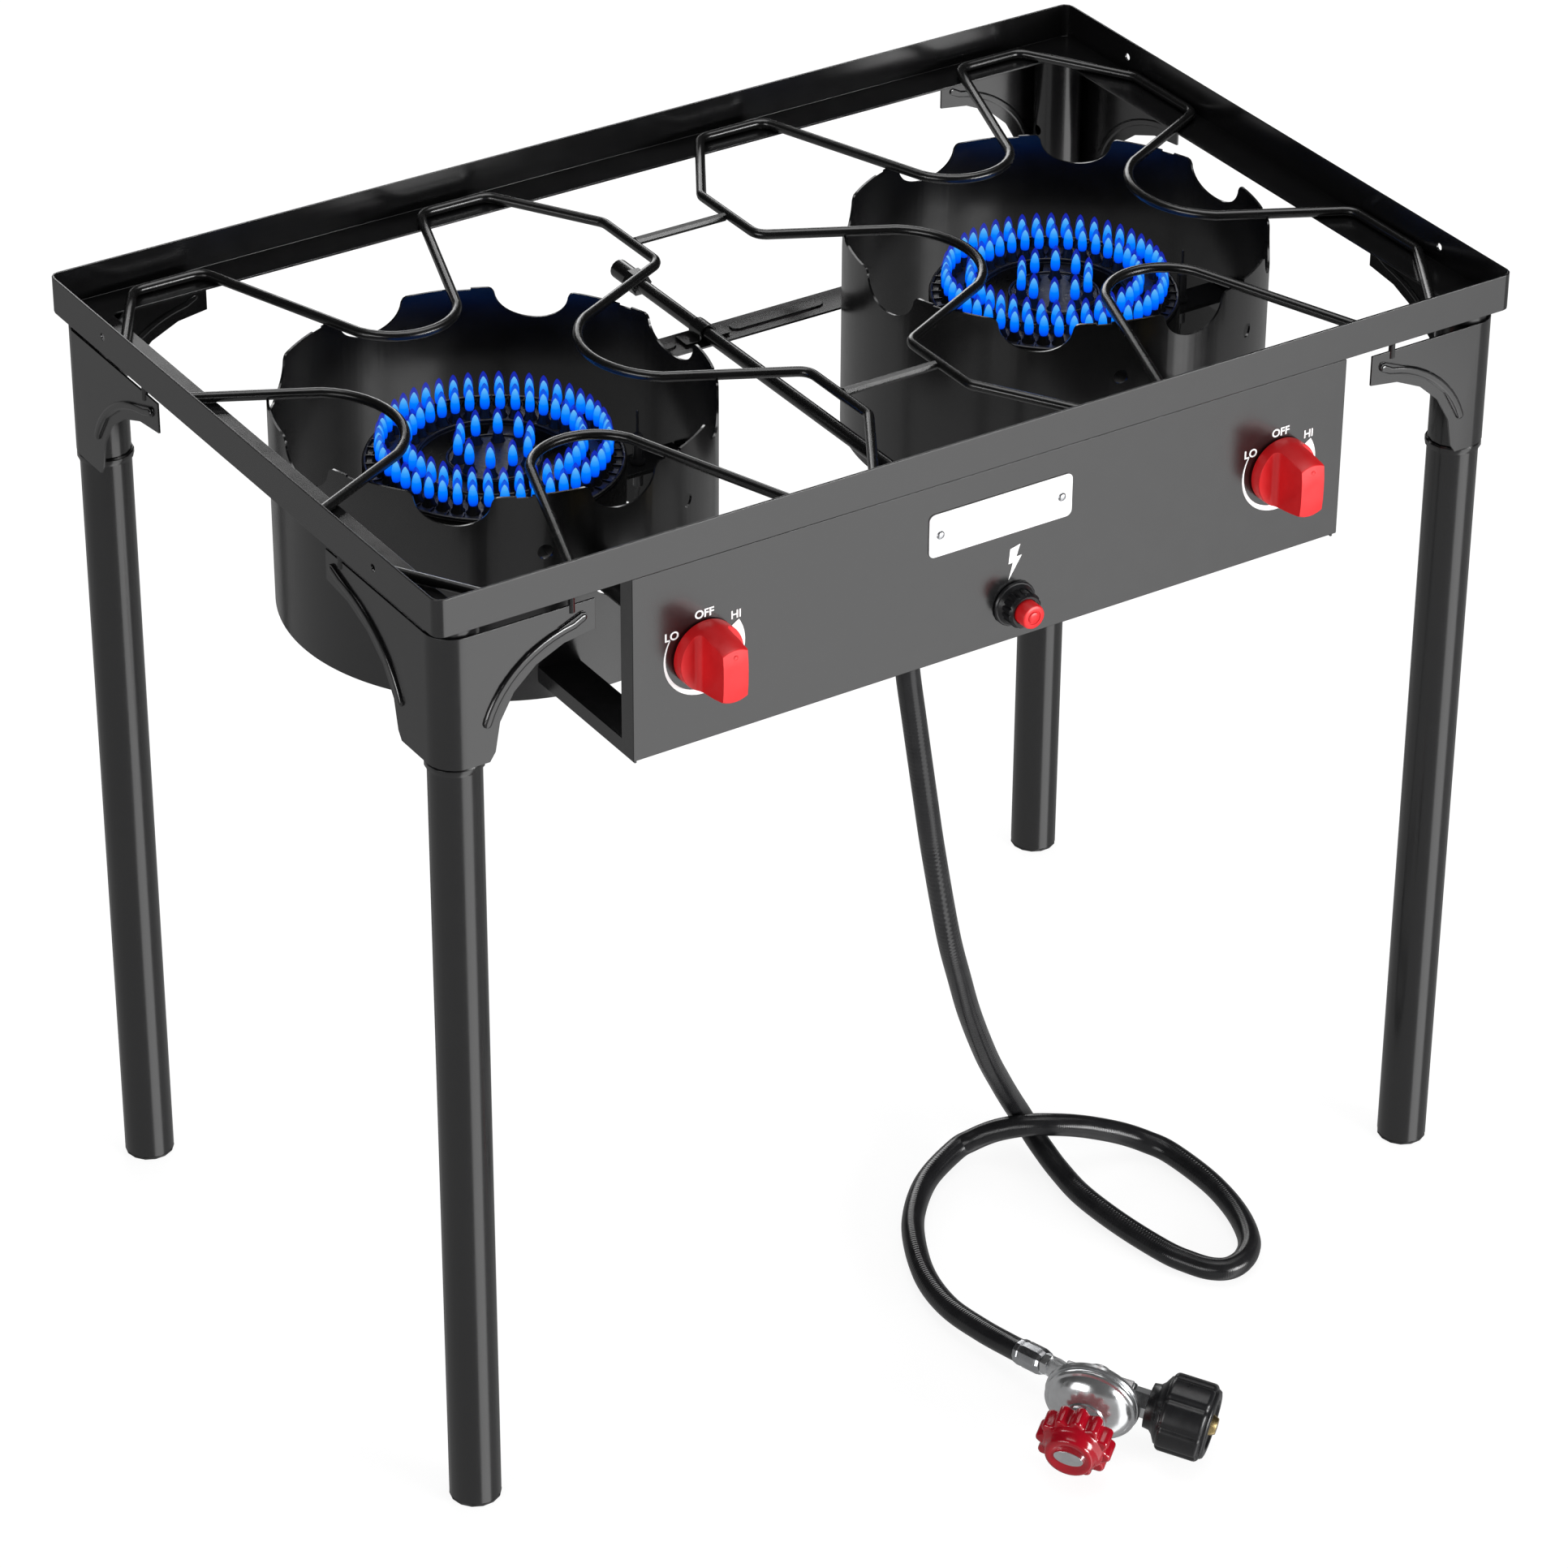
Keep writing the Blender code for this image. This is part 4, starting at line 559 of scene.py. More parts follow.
def smooth_line(points, per_span):
    """Points of a smooth curve through the route."""
    line = [Vector(p) + Vector((0, MID_Y, 0)) for p in points]
    line = [line[0] * 2 - line[1]] + line + [line[-1] * 2 - line[-2]]
    result = []
    for i in range(1, len(line) - 2):
        a, b, c, d = line[i - 1 : i + 3]
        for k in range(per_span):
            t = k / per_span
            curve = b * 2 + (c - a) * t + (a * 2 - b * 5 + c * 4 - d) * t * t
            curve += (b * 3 - a - c * 3 + d) * t * t * t
            result.append(curve / 2)
    result.append(line[-2])
    return result


def lay_hose():
    line = smooth_line(HOSE_ROUTE, 8)
    round_tube = {"dimensions": "3D", "bevel_depth": HOSE_RADIUS, "bevel_resolution": 6}
    hose = curve_piece("gas_hose", line, False, use_fill_caps=True, **round_tube)
    finish(hose, rubber, "stand", 60)
    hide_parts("hose")
    return line


# ---- dial faces and knobs -----------------------------------------------------------------------
def flat_shape(name, outline, thick=0.00012, soft=0.0):
    """A flat shape drawn as a filled curve, with rounded edges where soft is given."""
    edges = {"extrude": thick - soft, "bevel_depth": soft, "bevel_resolution": 3, "offset": -soft}
    points = [(x, y, 0) for x, y in outline]
    return curve_piece(name, points, True, dimensions="2D", fill_mode="BOTH", **edges)


def word(name, text, size, at):
    deselect()
    bpy.ops.object.text_add()
    letters = bpy.context.object
    letters.data.body = text
    letters.data.size = size
    letters.data.align_x = "CENTER"
    letters.data.align_y = "CENTER"
    letters.data.extrude = 0.00012
    letters.data.offset = 0.00016
    letters.data.resolution_u = 6
    bpy.ops.object.convert(target="MESH")
    letters = bpy.context.object
    letters.name = name
    letters.data.name = name
    return put(letters, Matrix.Translation((*at, 0)))


def make_dial(side, x):
    """The printed arc that grows from LO to HI, with its three words."""
    start, end, outer = 58.0, 302.0, 0.0290
    outside, inside = [], []
    for i in range(41):
        share = i / 40
        angle = math.radians(90 - start - (end - start) * share)
        width = 0.0078 * (1 - share) ** 1.15 + 0.0006
        outside.append((outer * math.cos(angle), outer * math.sin(angle)))
        inside.append(((outer - width) * math.cos(angle), (outer - width) * math.sin(angle)))
    arc = flat_shape(f"dial_arc_{side}", outside + inside[::-1])
    parts = [
        arc,
        word(f"dial_off_{side}", "OFF", 0.0078, (0.0, 0.0265)),
        word(f"dial_low_{side}", "LO", 0.0078, (-0.0232, 0.0172)),
        word(f"dial_high_{side}", "HI", 0.0078, (0.0225, 0.0190)),
    ]
    dial = weld_together(parts, f"dial_print_{side}")
    put(dial, Matrix.Translation((x, PANEL_FACE - 0.0002, KNOB_Z)) @ TO_FRONT)
    finish(dial, white_print, "stand")


def make_knob():
    """A tapered round body with both sides scooped away to leave the grip."""
    rings = [(0.0215, 0.0), (0.0225, 0.0008), (0.0225, 0.0080), (0.0220, 0.0094), (0.0203, 0.0240)]
    rings += [(0.0186, 0.0336), (0.0178, 0.0346), (0.0120, 0.0353), (0.0060, 0.0356)]
    knob = drawn_up("control_knob", rings, 64)
    for side in (-1, 1):
        scoop = block("scoop", (0.030, 0.060, 0.040), (side * 0.0238, 0, 0.0288))
        choose(scoop, "edges", lambda e: middle(e).z < 0.01 and all(abs(c) < 0.01 for c in middle(e).xy))
        bpy.ops.mesh.bevel(offset=0.0045, segments=5)
        close_edit()
        carve(knob, scoop)
    round_edges(knob, 0.0006, 2, 30)
    deselect()
    bpy.ops.mesh.primitive_torus_add(
        major_radius=0.00135,
        minor_radius=0.00030,
        major_segments=20,
        minor_segments=6,
        location=(0, 0.0130, 0.0352),
    )
    dot = named("grip_dot")
    return weld_together([knob, dot], "control_knob")


# ---- flames and ports ---------------------------------------------------------------------------
ROWS = ((46, 0.0727, 88.5), (36, 0.0565, 85.8), (10, 0.0233, 90.0))


STUB = ((0.0050, -0.0005), (0.0048, 0.0004), (0.0036, 0.0020))  # each ring's radius and height
STUB += ((0.0031, 0.0050), (0.0028, 0.0055), (0.0016, 0.0050))


def make_flame(name, foot, tip, wide, sides):
    shape = [(0.35, 0.0), (0.74, 0.03), (0.93, 0.12), (1.0, 0.28)]
    shape += [(0.97, 0.46), (0.84, 0.64), (0.60, 0.82), (0.30, 0.94)]
    rings = [(wide * r, foot + (tip - foot) * h) for r, h in shape] + [(wide * 0.04, tip)]
    return drawn_up(name, rings, sides)


def light_burner(side, x):
    centre = Matrix.Translation((x, MID_Y, 0))
    cores, veils, ports = [], [], []
    for count, radius, first in ROWS:
        spot = Matrix.Translation((radius, 0, 0))
        core = put(make_flame("core", FLAME_FOOT, FLAME_TIP - 0.0038, 0.0032, 8), spot)
        veil = put(make_flame("veil", FLAME_FOOT + 0.003, FLAME_TIP, 0.0034, 8), spot)
        port = put(drawn_up("port", [(wide, BURNER_TOP + rise) for wide, rise in STUB], 10), spot)
        for piece, row in ((core, cores), (veil, veils), (port, ports)):
            repeat_round(piece, count, math.radians(first))
            row.append(piece)
    core = put(weld_together(cores, f"flames_{side}"), centre)
    finish(core, flame_core, "stand", 80)
    veil = put(weld_together(veils, f"flame_veils_{side}"), centre)
    finish(veil, flame_veil, "stand", 80)
    port = put(weld_together(ports, f"burner_ports_{side}"), centre)
    finish(port, cast_iron, "stand", 45)


def make_burner_lips(side, x):
    """Low ridges between the rows and a raised lip round the ring's edge."""
    top = BURNER_TOP
    lips = []
    for number, (radius, wide) in enumerate(((0.0825, 0.0014), (0.0497, 0.0010), (0.0300, 0.0010))):
        deselect()
        bpy.ops.mesh.primitive_torus_add(
            major_radius=radius, minor_radius=wide, major_segments=96, minor_segments=8, location=(0, 0, top)
        )
        lip = named(f"lip_{number}")
        lips.append(lip)
    rib = block("rib", (0.0064, 0.0011, 0.0020), (0.0788, 0, top + 0.0003))
    repeat_round(rib, 46, math.radians(88.5 + 360 / 92))
    lips.append(rib)
    lips = weld_together(lips, f"burner_lips_{side}")
    put(lips, Matrix.Translation((x, MID_Y, 0)))
    finish(lips, cast_iron, "stand", 45)


# ---- name plate, bolt sign and igniter ----------------------------------------------------------
def make_plate():
    plate = block("bare_plate", (0.1070, 0.0300, 0.0010), (0, 0, 0.0006))
    choose(plate, "edges", lambda e: abs((e.verts[0].co - e.verts[1].co).normalized().z) > 0.9)
    bpy.ops.mesh.bevel(offset=0.0042, segments=6)
    close_edit()
    round_edges(plate, 0.0003, 2, 60)
    spot = Matrix.Translation((0, PANEL_FACE, 0.620)) @ TO_FRONT
    put(plate, spot)
    finish(plate, plate_white, "stand")
    rivets = []
    for x in (-0.0455, 0.0455):
        rings = [(0.0030, 0.0009), (0.0030, 0.0014), (0.0027, 0.0019), (0.0019, 0.0024), (0.0008, 0.0026)]
        rivet = drawn_up("rivet", rings, 24)
        rivets.append(put(rivet, Matrix.Translation((x, 0, 0))))
    rivets = put(weld_together(rivets, "plate_rivets"), spot)
    finish(rivets, zinc, "stand")


def make_bolt_sign():
    outline = [(-0.0045, 0.0100), (0.0030, 0.0118), (0.0002, 0.0035), (0.0044, 0.0038), (-0.0052, -0.0118)]
    outline += [(-0.0022, 0.0000), (-0.0055, -0.0004)]
    bolt = flat_shape("spark_sign", outline)
    put(bolt, Matrix.Translation((0.0125, PANEL_FACE - 0.0002, 0.5835)) @ TO_FRONT)
    finish(bolt, white_print, "stand")


def make_igniter():
    spot = Matrix.Translation((0.012, PANEL_FACE, 0.554)) @ TO_FRONT
    rings = [(0.0150, 0.0003), (0.0155, 0.0006), (0.0155, 0.0016)]
    rings += [(0.0149, 0.0025), (0.0140, 0.0026), (0.0110, 0.0062)]
    bezel = drawn_up("igniter_bezel", rings, 20)
    rings = [(0.0122, 0.0040), (0.0122, 0.0122), (0.0112, 0.0132)]
    rings += [(0.0104, 0.0140), (0.0097, 0.0140), (0.0096, 0.0046)]
    nut = drawn_up("nut", rings, 64)

    def in_groove(point):
        turn = round(math.degrees(math.atan2(point.co.y, point.co.x)) / 5.625) % 4
        return turn == 0 and math.hypot(point.co.x, point.co.y) > 0.0120

    choose(nut, "verts", in_groove)
    bpy.ops.transform.resize(value=(0.925, 0.925, 1), center_override=(0, 0, 0.008))
    close_edit()
    shell = weld_together([bezel, nut], "igniter_collar")
    put(shell, spot)
    finish(shell, black_plastic, "stand", 30)
    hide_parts("igniter_nut")
    rings = [(0.0083, 0.0120), (0.0083, 0.0208), (0.0078, 0.0220), (0.0070, 0.0225), (0.0048, 0.0225)]
    rings += [(0.0046, 0.0220), (0.0040, 0.0220), (0.0038, 0.0225), (0.0034, 0.0228), (0.0010, 0.0229)]
    button = drawn_up("igniter_push_button", rings, 40)
    put(button, spot)
    finish(button, knob_red, "igniter_button", 35)
    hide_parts("igniter_button")


# ---- regulator, its knob and the tank nut -------------------------------------------------------
def bar_between(name, start, end, radius, sides):
    """A round bar from one point to another."""
    start, end = Vector(start), Vector(end)
    bar = drawn_up(name, [(radius, 0.0), (radius, (end - start).length)], sides)
    turn = Vector((0, 0, 1)).rotation_difference(end - start).to_matrix().to_4x4()
    return put(bar, Matrix.Translation(start) @ turn)


def lobed(count, radius, depth, power, steps):
    """The outline of a grip with grooves round it."""
    points = []
    for i in range(count * steps):
        angle = 2 * math.pi * i / (count * steps)
        groove = ((1 - math.cos(angle * count)) / 2) ** power
        reach = radius - depth * groove
        points.append((reach * math.cos(angle), reach * math.sin(angle)))
    return points


def regulator_spot():
    inlet = Vector((0.627, -0.766, -0.141)).normalized()
    aim = Vector((-0.777, -0.602, -0.184))
    aim = (aim - inlet * aim.dot(inlet)).normalized()
    spot = Matrix((inlet, aim.cross(inlet), aim)).transposed().to_4x4()
    spot.translation = Vector((-0.0146, -0.4016 + MID_Y, 0.0363))
    return spot


ALONG_INLET = Matrix(((0, 0, 1), (0, 1, 0), (-1, 0, 0))).to_4x4()
PASSAGE = Matrix.Translation((0, 0, -0.012)) @ ALONG_INLET


def make_regulator(hose_line):
    spot = regulator_spot()
    shell = drawn_up(
        "shell",
        [
            (0.0180, -0.0125), (0.0245, -0.0105), (0.0276, -0.0074), (0.0288, -0.0050), (0.0314, -0.0045),
            (0.0322, -0.0035), (0.0322, -0.0014), (0.0314, -0.0003), (0.0300, 0.0000), (0.0297, 0.0007),
            (0.0307, 0.0012), (0.0312, 0.0022), (0.0311, 0.0035), (0.0303, 0.0045), (0.0285, 0.0049),
            (0.0277, 0.0060), (0.0262, 0.0088), (0.0215, 0.0122), (0.0150, 0.0146), (0.0137, 0.0150),
            (0.0132, 0.0163), (0.0110, 0.0166),
        ],
        96,
    )
    neck = drawn_up("neck", [(0.0120, 0.0150), (0.0120, 0.0262), (0.0110, 0.0271)], 8)
    spindle = drawn_up("spindle", [(0.0050, 0.0260), (0.0050, 0.0340)], 24)
    bar = block("bar", (0.0500, 0.0150, 0.0100), (0.0005, 0, -0.0166))
    round_edges(bar, 0.0028, 4)
    seat = drawn_up("seat", [(0.0098, 0.0), (0.0098, 0.0030), (0.0088, 0.0040)], 32)
    put(seat, Matrix.Translation((-0.0020, 0, -0.0210)) @ Matrix.Rotation(math.pi, 4, "X"))
    nub = drawn_up("nub", [(0.0050, 0.0), (0.0050, 0.0030), (0.0044, 0.0040), (0.0020, 0.0044)], 32)
    put(nub, Matrix.Translation((-0.0020, 0, -0.0226)) @ Matrix.Rotation(math.pi, 4, "X"))
    rings = [(0.0084, 0.0200), (0.0084, 0.0245), (0.0098, 0.0252), (0.0098, 0.0350), (0.0090, 0.0358)]
    inlet = drawn_up("inlet", rings, 6)
    put(inlet, PASSAGE)
    ribs = []
    for side in (-1, 1):
        web = block("web", (0.0460, 0.0022, 0.0090), (0.0, side * 0.0115, -0.0128))
        round_edges(web, 0.0009, 3)
        ribs.append(web)
    body = weld_together([shell, neck, spindle, bar, seat, nub, inlet, *ribs], "regulator_casting")
    put(body, spot)
    end = hose_line[-1]
    aim = (end - hose_line[-2]).normalized()
    port = end + aim * 0.0256
    collar = bar_between("collar", port, port + aim * 0.0062, 0.0078, 6)
    round_edges(collar, 0.0005)
    stem = bar_between("stem", port + aim * 0.0055, port + aim * 0.0125, 0.0070, 24)
    elbow = bar_between("elbow", port + aim * 0.0090, spot @ Vector((-0.0120, 0, -0.0110)), 0.0072, 24)
    body = weld_together([body, collar, stem, elbow], "regulator_casting")
    finish(body, alloy, "stand", 32)
    even_normals(body)
    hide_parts("regulator_body")

    rings = [(0.0084, 0.0), (0.0091, 0.0007), (0.0091, 0.0042), (0.0086, 0.0048), (0.0086, 0.0058)]
    rings += [(0.0092, 0.0064), (0.0092, 0.0205), (0.0088, 0.0216), (0.0088, 0.0226), (0.0076, 0.0250)]
    sleeve = drawn_up("crimped_sleeve", rings, 12)
    round_edges(sleeve, 0.0004, 2, 20)
    turn = Vector((0, 0, 1)).rotation_difference(aim).to_matrix().to_4x4()
    put(sleeve, Matrix.Translation(end + aim * 0.0003) @ turn)
    finish(sleeve, zinc, "stand", 30)
    even_normals(sleeve)
    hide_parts("hose_ferrule")


def make_regulator_knob():
    spot = regulator_spot()
    grip = flat_shape("grip", lobed(12, 0.0254, 0.0040, 1.5, 12), 0.0078, 0.0021)
    put(grip, Matrix.Translation((0, 0, 0.0352)))
    hub_rings = [(0.0212, 0.0400), (0.0205, 0.0432), (0.0184, 0.0446), (0.0170, 0.0464), (0.0166, 0.0500)]
    hub_rings += [(0.0161, 0.0512), (0.0150, 0.0518), (0.0124, 0.0519), (0.0119, 0.0514)]
    hub = drawn_up("hub", hub_rings, 64)
    cap = weld_together([grip, hub], "regulator_hand_knob")
    put(cap, spot)
    finish(cap, gloss_red, "regulator_knob", 50)
    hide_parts("regulator_knob")
    oval = [(0.0100 * math.cos(math.pi * i / 24), 0.0060 * math.sin(math.pi * i / 24)) for i in range(48)]
    badge = flat_shape("knob_end_insert", oval, 0.0004, 0.0002)
    put(badge, spot @ Matrix.Translation((0, 0, 0.0516)))
    finish(badge, alloy, "regulator_knob", 40)


def make_tank_nut():
    spot = regulator_spot() @ PASSAGE
    grip = flat_shape("grip", lobed(8, 0.0264, 0.0016, 9.0, 18), 0.0150, 0.0034)
    put(grip, Matrix.Translation((0, 0, 0.0615)))
    rings = [(0.0130, 0.0352), (0.0150, 0.0356), (0.0156, 0.0400), (0.0178, 0.0424)]
    rings += [(0.0226, 0.0452), (0.0243, 0.0482), (0.0246, 0.0530)]
    shoulder = drawn_up("shoulder", rings, 64)
    rings = [(0.0236, 0.0745), (0.0236, 0.0772), (0.0226, 0.0786)]
    rings += [(0.0206, 0.0792), (0.0172, 0.0790), (0.0166, 0.0776)]
    rim = drawn_up("rim", rings, 64)
    nut = weld_together([grip, shoulder, rim], "tank_hand_nut")
    put(nut, spot)
    finish(nut, black_plastic, "tank_nut", 40)
    even_normals(nut)
    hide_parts("tank_nut")


# ---- wind guards --------------------------------------------------------------------------------
GUARD_RADIUS = 0.142
GUARD_RIM = 0.657
BOWL_HALF, BOWL_DEPTH = 0.0245, 0.0205
BOWL_TURN = 4.5  # the bowls sit a little off the middle between the grate's wires
BOWL_LIP = ((0.0036, 0.0040), (0.0036, 0.0), (0.0016, -0.0008), (0.0004, -0.0024))  # beyond the bowl's half
SLOT_TURN, SLOT_WIDTH = 22.5, 0.0095
SMALL_HOLE, SMALL_HOLE_Z, SMALL_HOLE_TURNS = 0.0050, 0.6170, (-107.5, -62.5)
TUBE_HOLE = 0.0125


def round_hole(name, radius, angle, height):
    deselect()
    bpy.ops.mesh.primitive_cylinder_add(vertices=32, radius=radius, depth=0.03, rotation=(0, math.pi / 2, 0))
    hole = named(name)
    turn = Matrix.Rotation(math.radians(angle), 4, "Z")
    return put(hole, turn @ Matrix.Translation((GUARD_RADIUS, 0, height)))


def make_guard(side, x):
    """A thin rolled shell with eight bowls cut into its rim and a slot for a wire between each two."""
    node = f"wind_guard_{side}"
    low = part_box(node)[0][2]
    slot_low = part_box("grate_left")[0][2] - 0.0008
    deselect()
    bpy.ops.mesh.primitive_cylinder_add(
        vertices=160,
        radius=GUARD_RADIUS,
        depth=GUARD_RIM - low,
        end_fill_type="NOTHING",
        location=(0, 0, (GUARD_RIM + low) / 2),
    )
    shell = named(f"guard_shell_{side}")
    sheet = shell.modifiers.new("sheet", "SOLIDIFY")
    sheet.thickness = 0.0015
    sheet.offset = -1
    bpy.ops.object.modifier_apply(modifier="sheet")
    lip = [(BOWL_HALF + beyond, height) for beyond, height in BOWL_LIP]
    outline = list(lip)
    for i in range(1, 24):
        angle = math.pi * i / 24
        outline.append((BOWL_HALF * math.cos(angle), -BOWL_DEPTH * math.sin(angle) ** 0.85))
    outline += [(-across, height) for across, height in reversed(lip)]
    bowl = flat_shape("bowl", outline, 0.030)
    choose(bowl, "verts", lambda v: True)
    bpy.ops.mesh.remove_doubles(threshold=0.00002)
    bpy.ops.mesh.normals_make_consistent(inside=False)
    close_edit()
    outward = Matrix(((0, 0, 1, GUARD_RADIUS), (1, 0, 0, 0), (0, 1, 0, GUARD_RIM), (0, 0, 0, 1)))
    put(bowl, outward)
    repeat_round(bowl, 8, math.radians(BOWL_TURN))
    carve(shell, bowl)
    slot = block("slot", (0.020, SLOT_WIDTH, 2 * (GUARD_RIM - slot_low)), (GUARD_RADIUS, 0, GUARD_RIM))
    repeat_round(slot, 8, math.radians(SLOT_TURN))
    carve(shell, slot)
    for angle in SMALL_HOLE_TURNS:
        carve(shell, round_hole("small_hole", SMALL_HOLE, angle, SMALL_HOLE_Z))
    carve(shell, round_hole("tube_hole", TUBE_HOLE, -90, KNOB_Z))
    put(shell, Matrix.Translation((x, MID_Y, 0)))
    finish(shell, black_coat, "stand", 40)
    # painted shade: faces on the inside of the guard take the darker coat in place of the shade that falls
    # there
    shell.data.materials.append(painted_shade_coat)
    pick_up(shell)
    centre = Vector((x, MID_Y, 0))
    for face in shell.data.polygons:
        out = face.center - centre
        out.z = 0
        if out.length < GUARD_RADIUS - 0.0010 and face.normal.dot(out) < 0:
            face.material_index = 1
    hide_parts(node)


# ---- grate and bracket beads --------------------------------------------------------------------
WIRE_RADIUS, WIRE_BEND = 0.0034, 0.013
GRATE_QUARTER = ((0.178, 0.090), (0.178, 0.159), (0.132, 0.235), (0.081, 0.235))  # a cut corner of a loop
FRONT_FINGER = ((0.036, 0.107), (0, 0.085), (-0.036, 0.107))  # neck, tip and neck
SIDE_FINGER = ((-0.096, 0.048), (-0.072, 0), (-0.096, -0.048))
WING_FACE_X, WING_FACE_Y = 0.3965, 0.2465
FRONT_WING = ((0.290, 0.627), (0.360, 0.564))  # the free end and the low corner of the scooped edge
SIDE_WING = ((0.109, 0.627), (0.193, 0.564))
BEAD_HALF, BEAD_OFFSET, BEAD_TOP = 0.0029, 0.0090, 0.6380
BEAD_THICK, BEAD_SOFT = 0.0022, 0.0018


def circle_through(start, tip, end, steps):
    """Points of the arc from start to end that passes through the tip halfway."""
    a, b, c = Vector(start), Vector(tip), Vector(end)
    middle = (a + c) / 2
    half, rise = (c - a).length / 2, (b - middle).length
    radius = (half * half + rise * rise) / (2 * rise)
    up, along = (b - middle).normalized(), (c - a).normalized()
    reach = math.asin(half / radius)
    centre = b - up * radius
    turns = [reach * (2 * i / steps - 1) for i in range(steps + 1)]
    return [centre + along * radius * math.sin(t) + up * radius * math.cos(t) for t in turns]


def bent(points, radius, steps):
    """A closed outline with its sharper corners bent round."""
    result = []
    for i, here in enumerate(points):
        before = points[i - 1] - here
        after = points[(i + 1) % len(points)] - here
        turn = math.pi - before.angle(after)
        reach = min(radius * math.tan(turn / 2), 0.48 * before.length, 0.48 * after.length)
        if math.degrees(turn) < 24:
            result.append(here)
            continue
        enter, leave = here + before.normalized() * reach, here + after.normalized() * reach
        for k in range(steps + 1):
            t = k / steps
            result.append(enter * (1 - t) ** 2 + here * 2 * t * (1 - t) + leave * t * t)
    return result


def make_grate(side, x):
    node = f"grate_{side}"
    half = [Vector(p) for p in GRATE_QUARTER] + circle_through(*FRONT_FINGER, 14)
    half += [Vector((-px, py)) for px, py in reversed(GRATE_QUARTER)] + circle_through(*SIDE_FINGER, 14)
    route = bent(half + [-p for p in half], WIRE_BEND, 7)
    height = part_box(node)[0][2] + WIRE_RADIUS
    points = [(place.x + x, place.y + MID_Y, height) for place in route]
    round_wire = {"dimensions": "3D", "bevel_depth": WIRE_RADIUS, "bevel_resolution": 4}
    wire = curve_piece(node + "_wire", points, True, **round_wire)
    finish(wire, wire_coat, "grate", 60)
    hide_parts(node)


def bead_outline(sign, end, low):
    """The outline of a pressed bead that keeps its distance from the wing's concave edge."""
    (end_x, end_z), (low_x, low_z) = end, low
    spine = [Vector((end_x + BEAD_OFFSET, BEAD_TOP))]
    for i in range(2, 14):
        angle = math.pi / 2 * i / 16
        place = Vector((end_x + (low_x - end_x) * math.sin(angle), low_z + (end_z - low_z) * math.cos(angle)))
        slope = Vector(((low_x - end_x) * math.cos(angle), -(end_z - low_z) * math.sin(angle))).normalized()
        spine.append(place + Vector((-slope.y, slope.x)) * BEAD_OFFSET)
    near, far = [], []
    for i, place in enumerate(spine):
        ahead = (spine[min(i + 1, len(spine) - 1)] - spine[max(i - 1, 0)]).normalized()
        across = Vector((-ahead.y, ahead.x)) * BEAD_HALF
        near.append(place + across)
        far.append(place - across)
    caps = []
    for place, ahead in ((spine[-1], spine[-1] - spine[-2]), (spine[0], spine[0] - spine[1])):
        ahead = ahead.normalized()
        across = Vector((-ahead.y, ahead.x))
        turns = [math.pi * (k / 6) for k in range(1, 6)]
        caps.append([place + (across * math.cos(t) + ahead * math.sin(t)) * BEAD_HALF for t in turns])
    return [(sign * p.x, p.y) for p in near + caps[0] + far[::-1] + caps[1]]


def make_bead(name, sign_x, sign_y):
    front = flat_shape("front_bead", bead_outline(sign_x, *FRONT_WING), BEAD_THICK, BEAD_SOFT)
    put(front, Matrix.Translation((0, sign_y * WING_FACE_Y + MID_Y, 0)) @ TO_FRONT)
    side = flat_shape("side_bead", bead_outline(sign_y, *SIDE_WING), BEAD_THICK, BEAD_SOFT)
    put(side, Matrix(((0, 0, 1, sign_x * WING_FACE_X), (1, 0, 0, MID_Y), (0, 1, 0, 0), (0, 0, 0, 1))))
    bead = weld_together([front, side], f"bracket_beads_{name}")
    finish(bead, black_coat, "stand", 50)


# ---- setting ------------------------------------------------------------------------------------
def set_floor():
    deselect()
    bpy.ops.mesh.primitive_plane_add(size=60, location=(0, 0, 0))
    floor = named("studio_floor")
    paper = bpy.data.materials.new("white_paper")
    paper.use_nodes = True
    tree = paper.node_tree
    shader = tree.nodes["Principled BSDF"]
    shader.inputs["Base Color"].default_value = (0.90, 0.90, 0.90, 1)
    shader.inputs["Roughness"].default_value = 0.9
    shader.inputs["Specular IOR Level"].default_value = 0.1
    rays = tree.nodes.new("ShaderNodeLightPath")
    share = tree.nodes.new("ShaderNodeMath")
    share.operation = "MULTIPLY"
    share.inputs[1].default_value = 0.75
    tree.links.new(rays.outputs["Is Camera Ray"], share.inputs[0])
    glow = tree.nodes.new("ShaderNodeEmission")
    glow.inputs["Strength"].default_value = 1.15
    blend = tree.nodes.new("ShaderNodeMixShader")
    tree.links.new(share.outputs["Value"], blend.inputs["Fac"])
    tree.links.new(shader.outputs["BSDF"], blend.inputs[1])
    tree.links.new(glow.outputs["Emission"], blend.inputs[2])
    clear = tree.nodes.new("ShaderNodeBsdfTransparent")
    open_floor = tree.nodes.new("ShaderNodeMixShader")
    tree.links.new(rays.outputs["Is Glossy Ray"], open_floor.inputs["Fac"])
    tree.links.new(blend.outputs["Shader"], open_floor.inputs[1])
    tree.links.new(clear.outputs["BSDF"], open_floor.inputs[2])
    tree.links.new(open_floor.outputs["Shader"], tree.nodes["Material Output"].inputs["Surface"])
    floor.data.materials.append(paper)


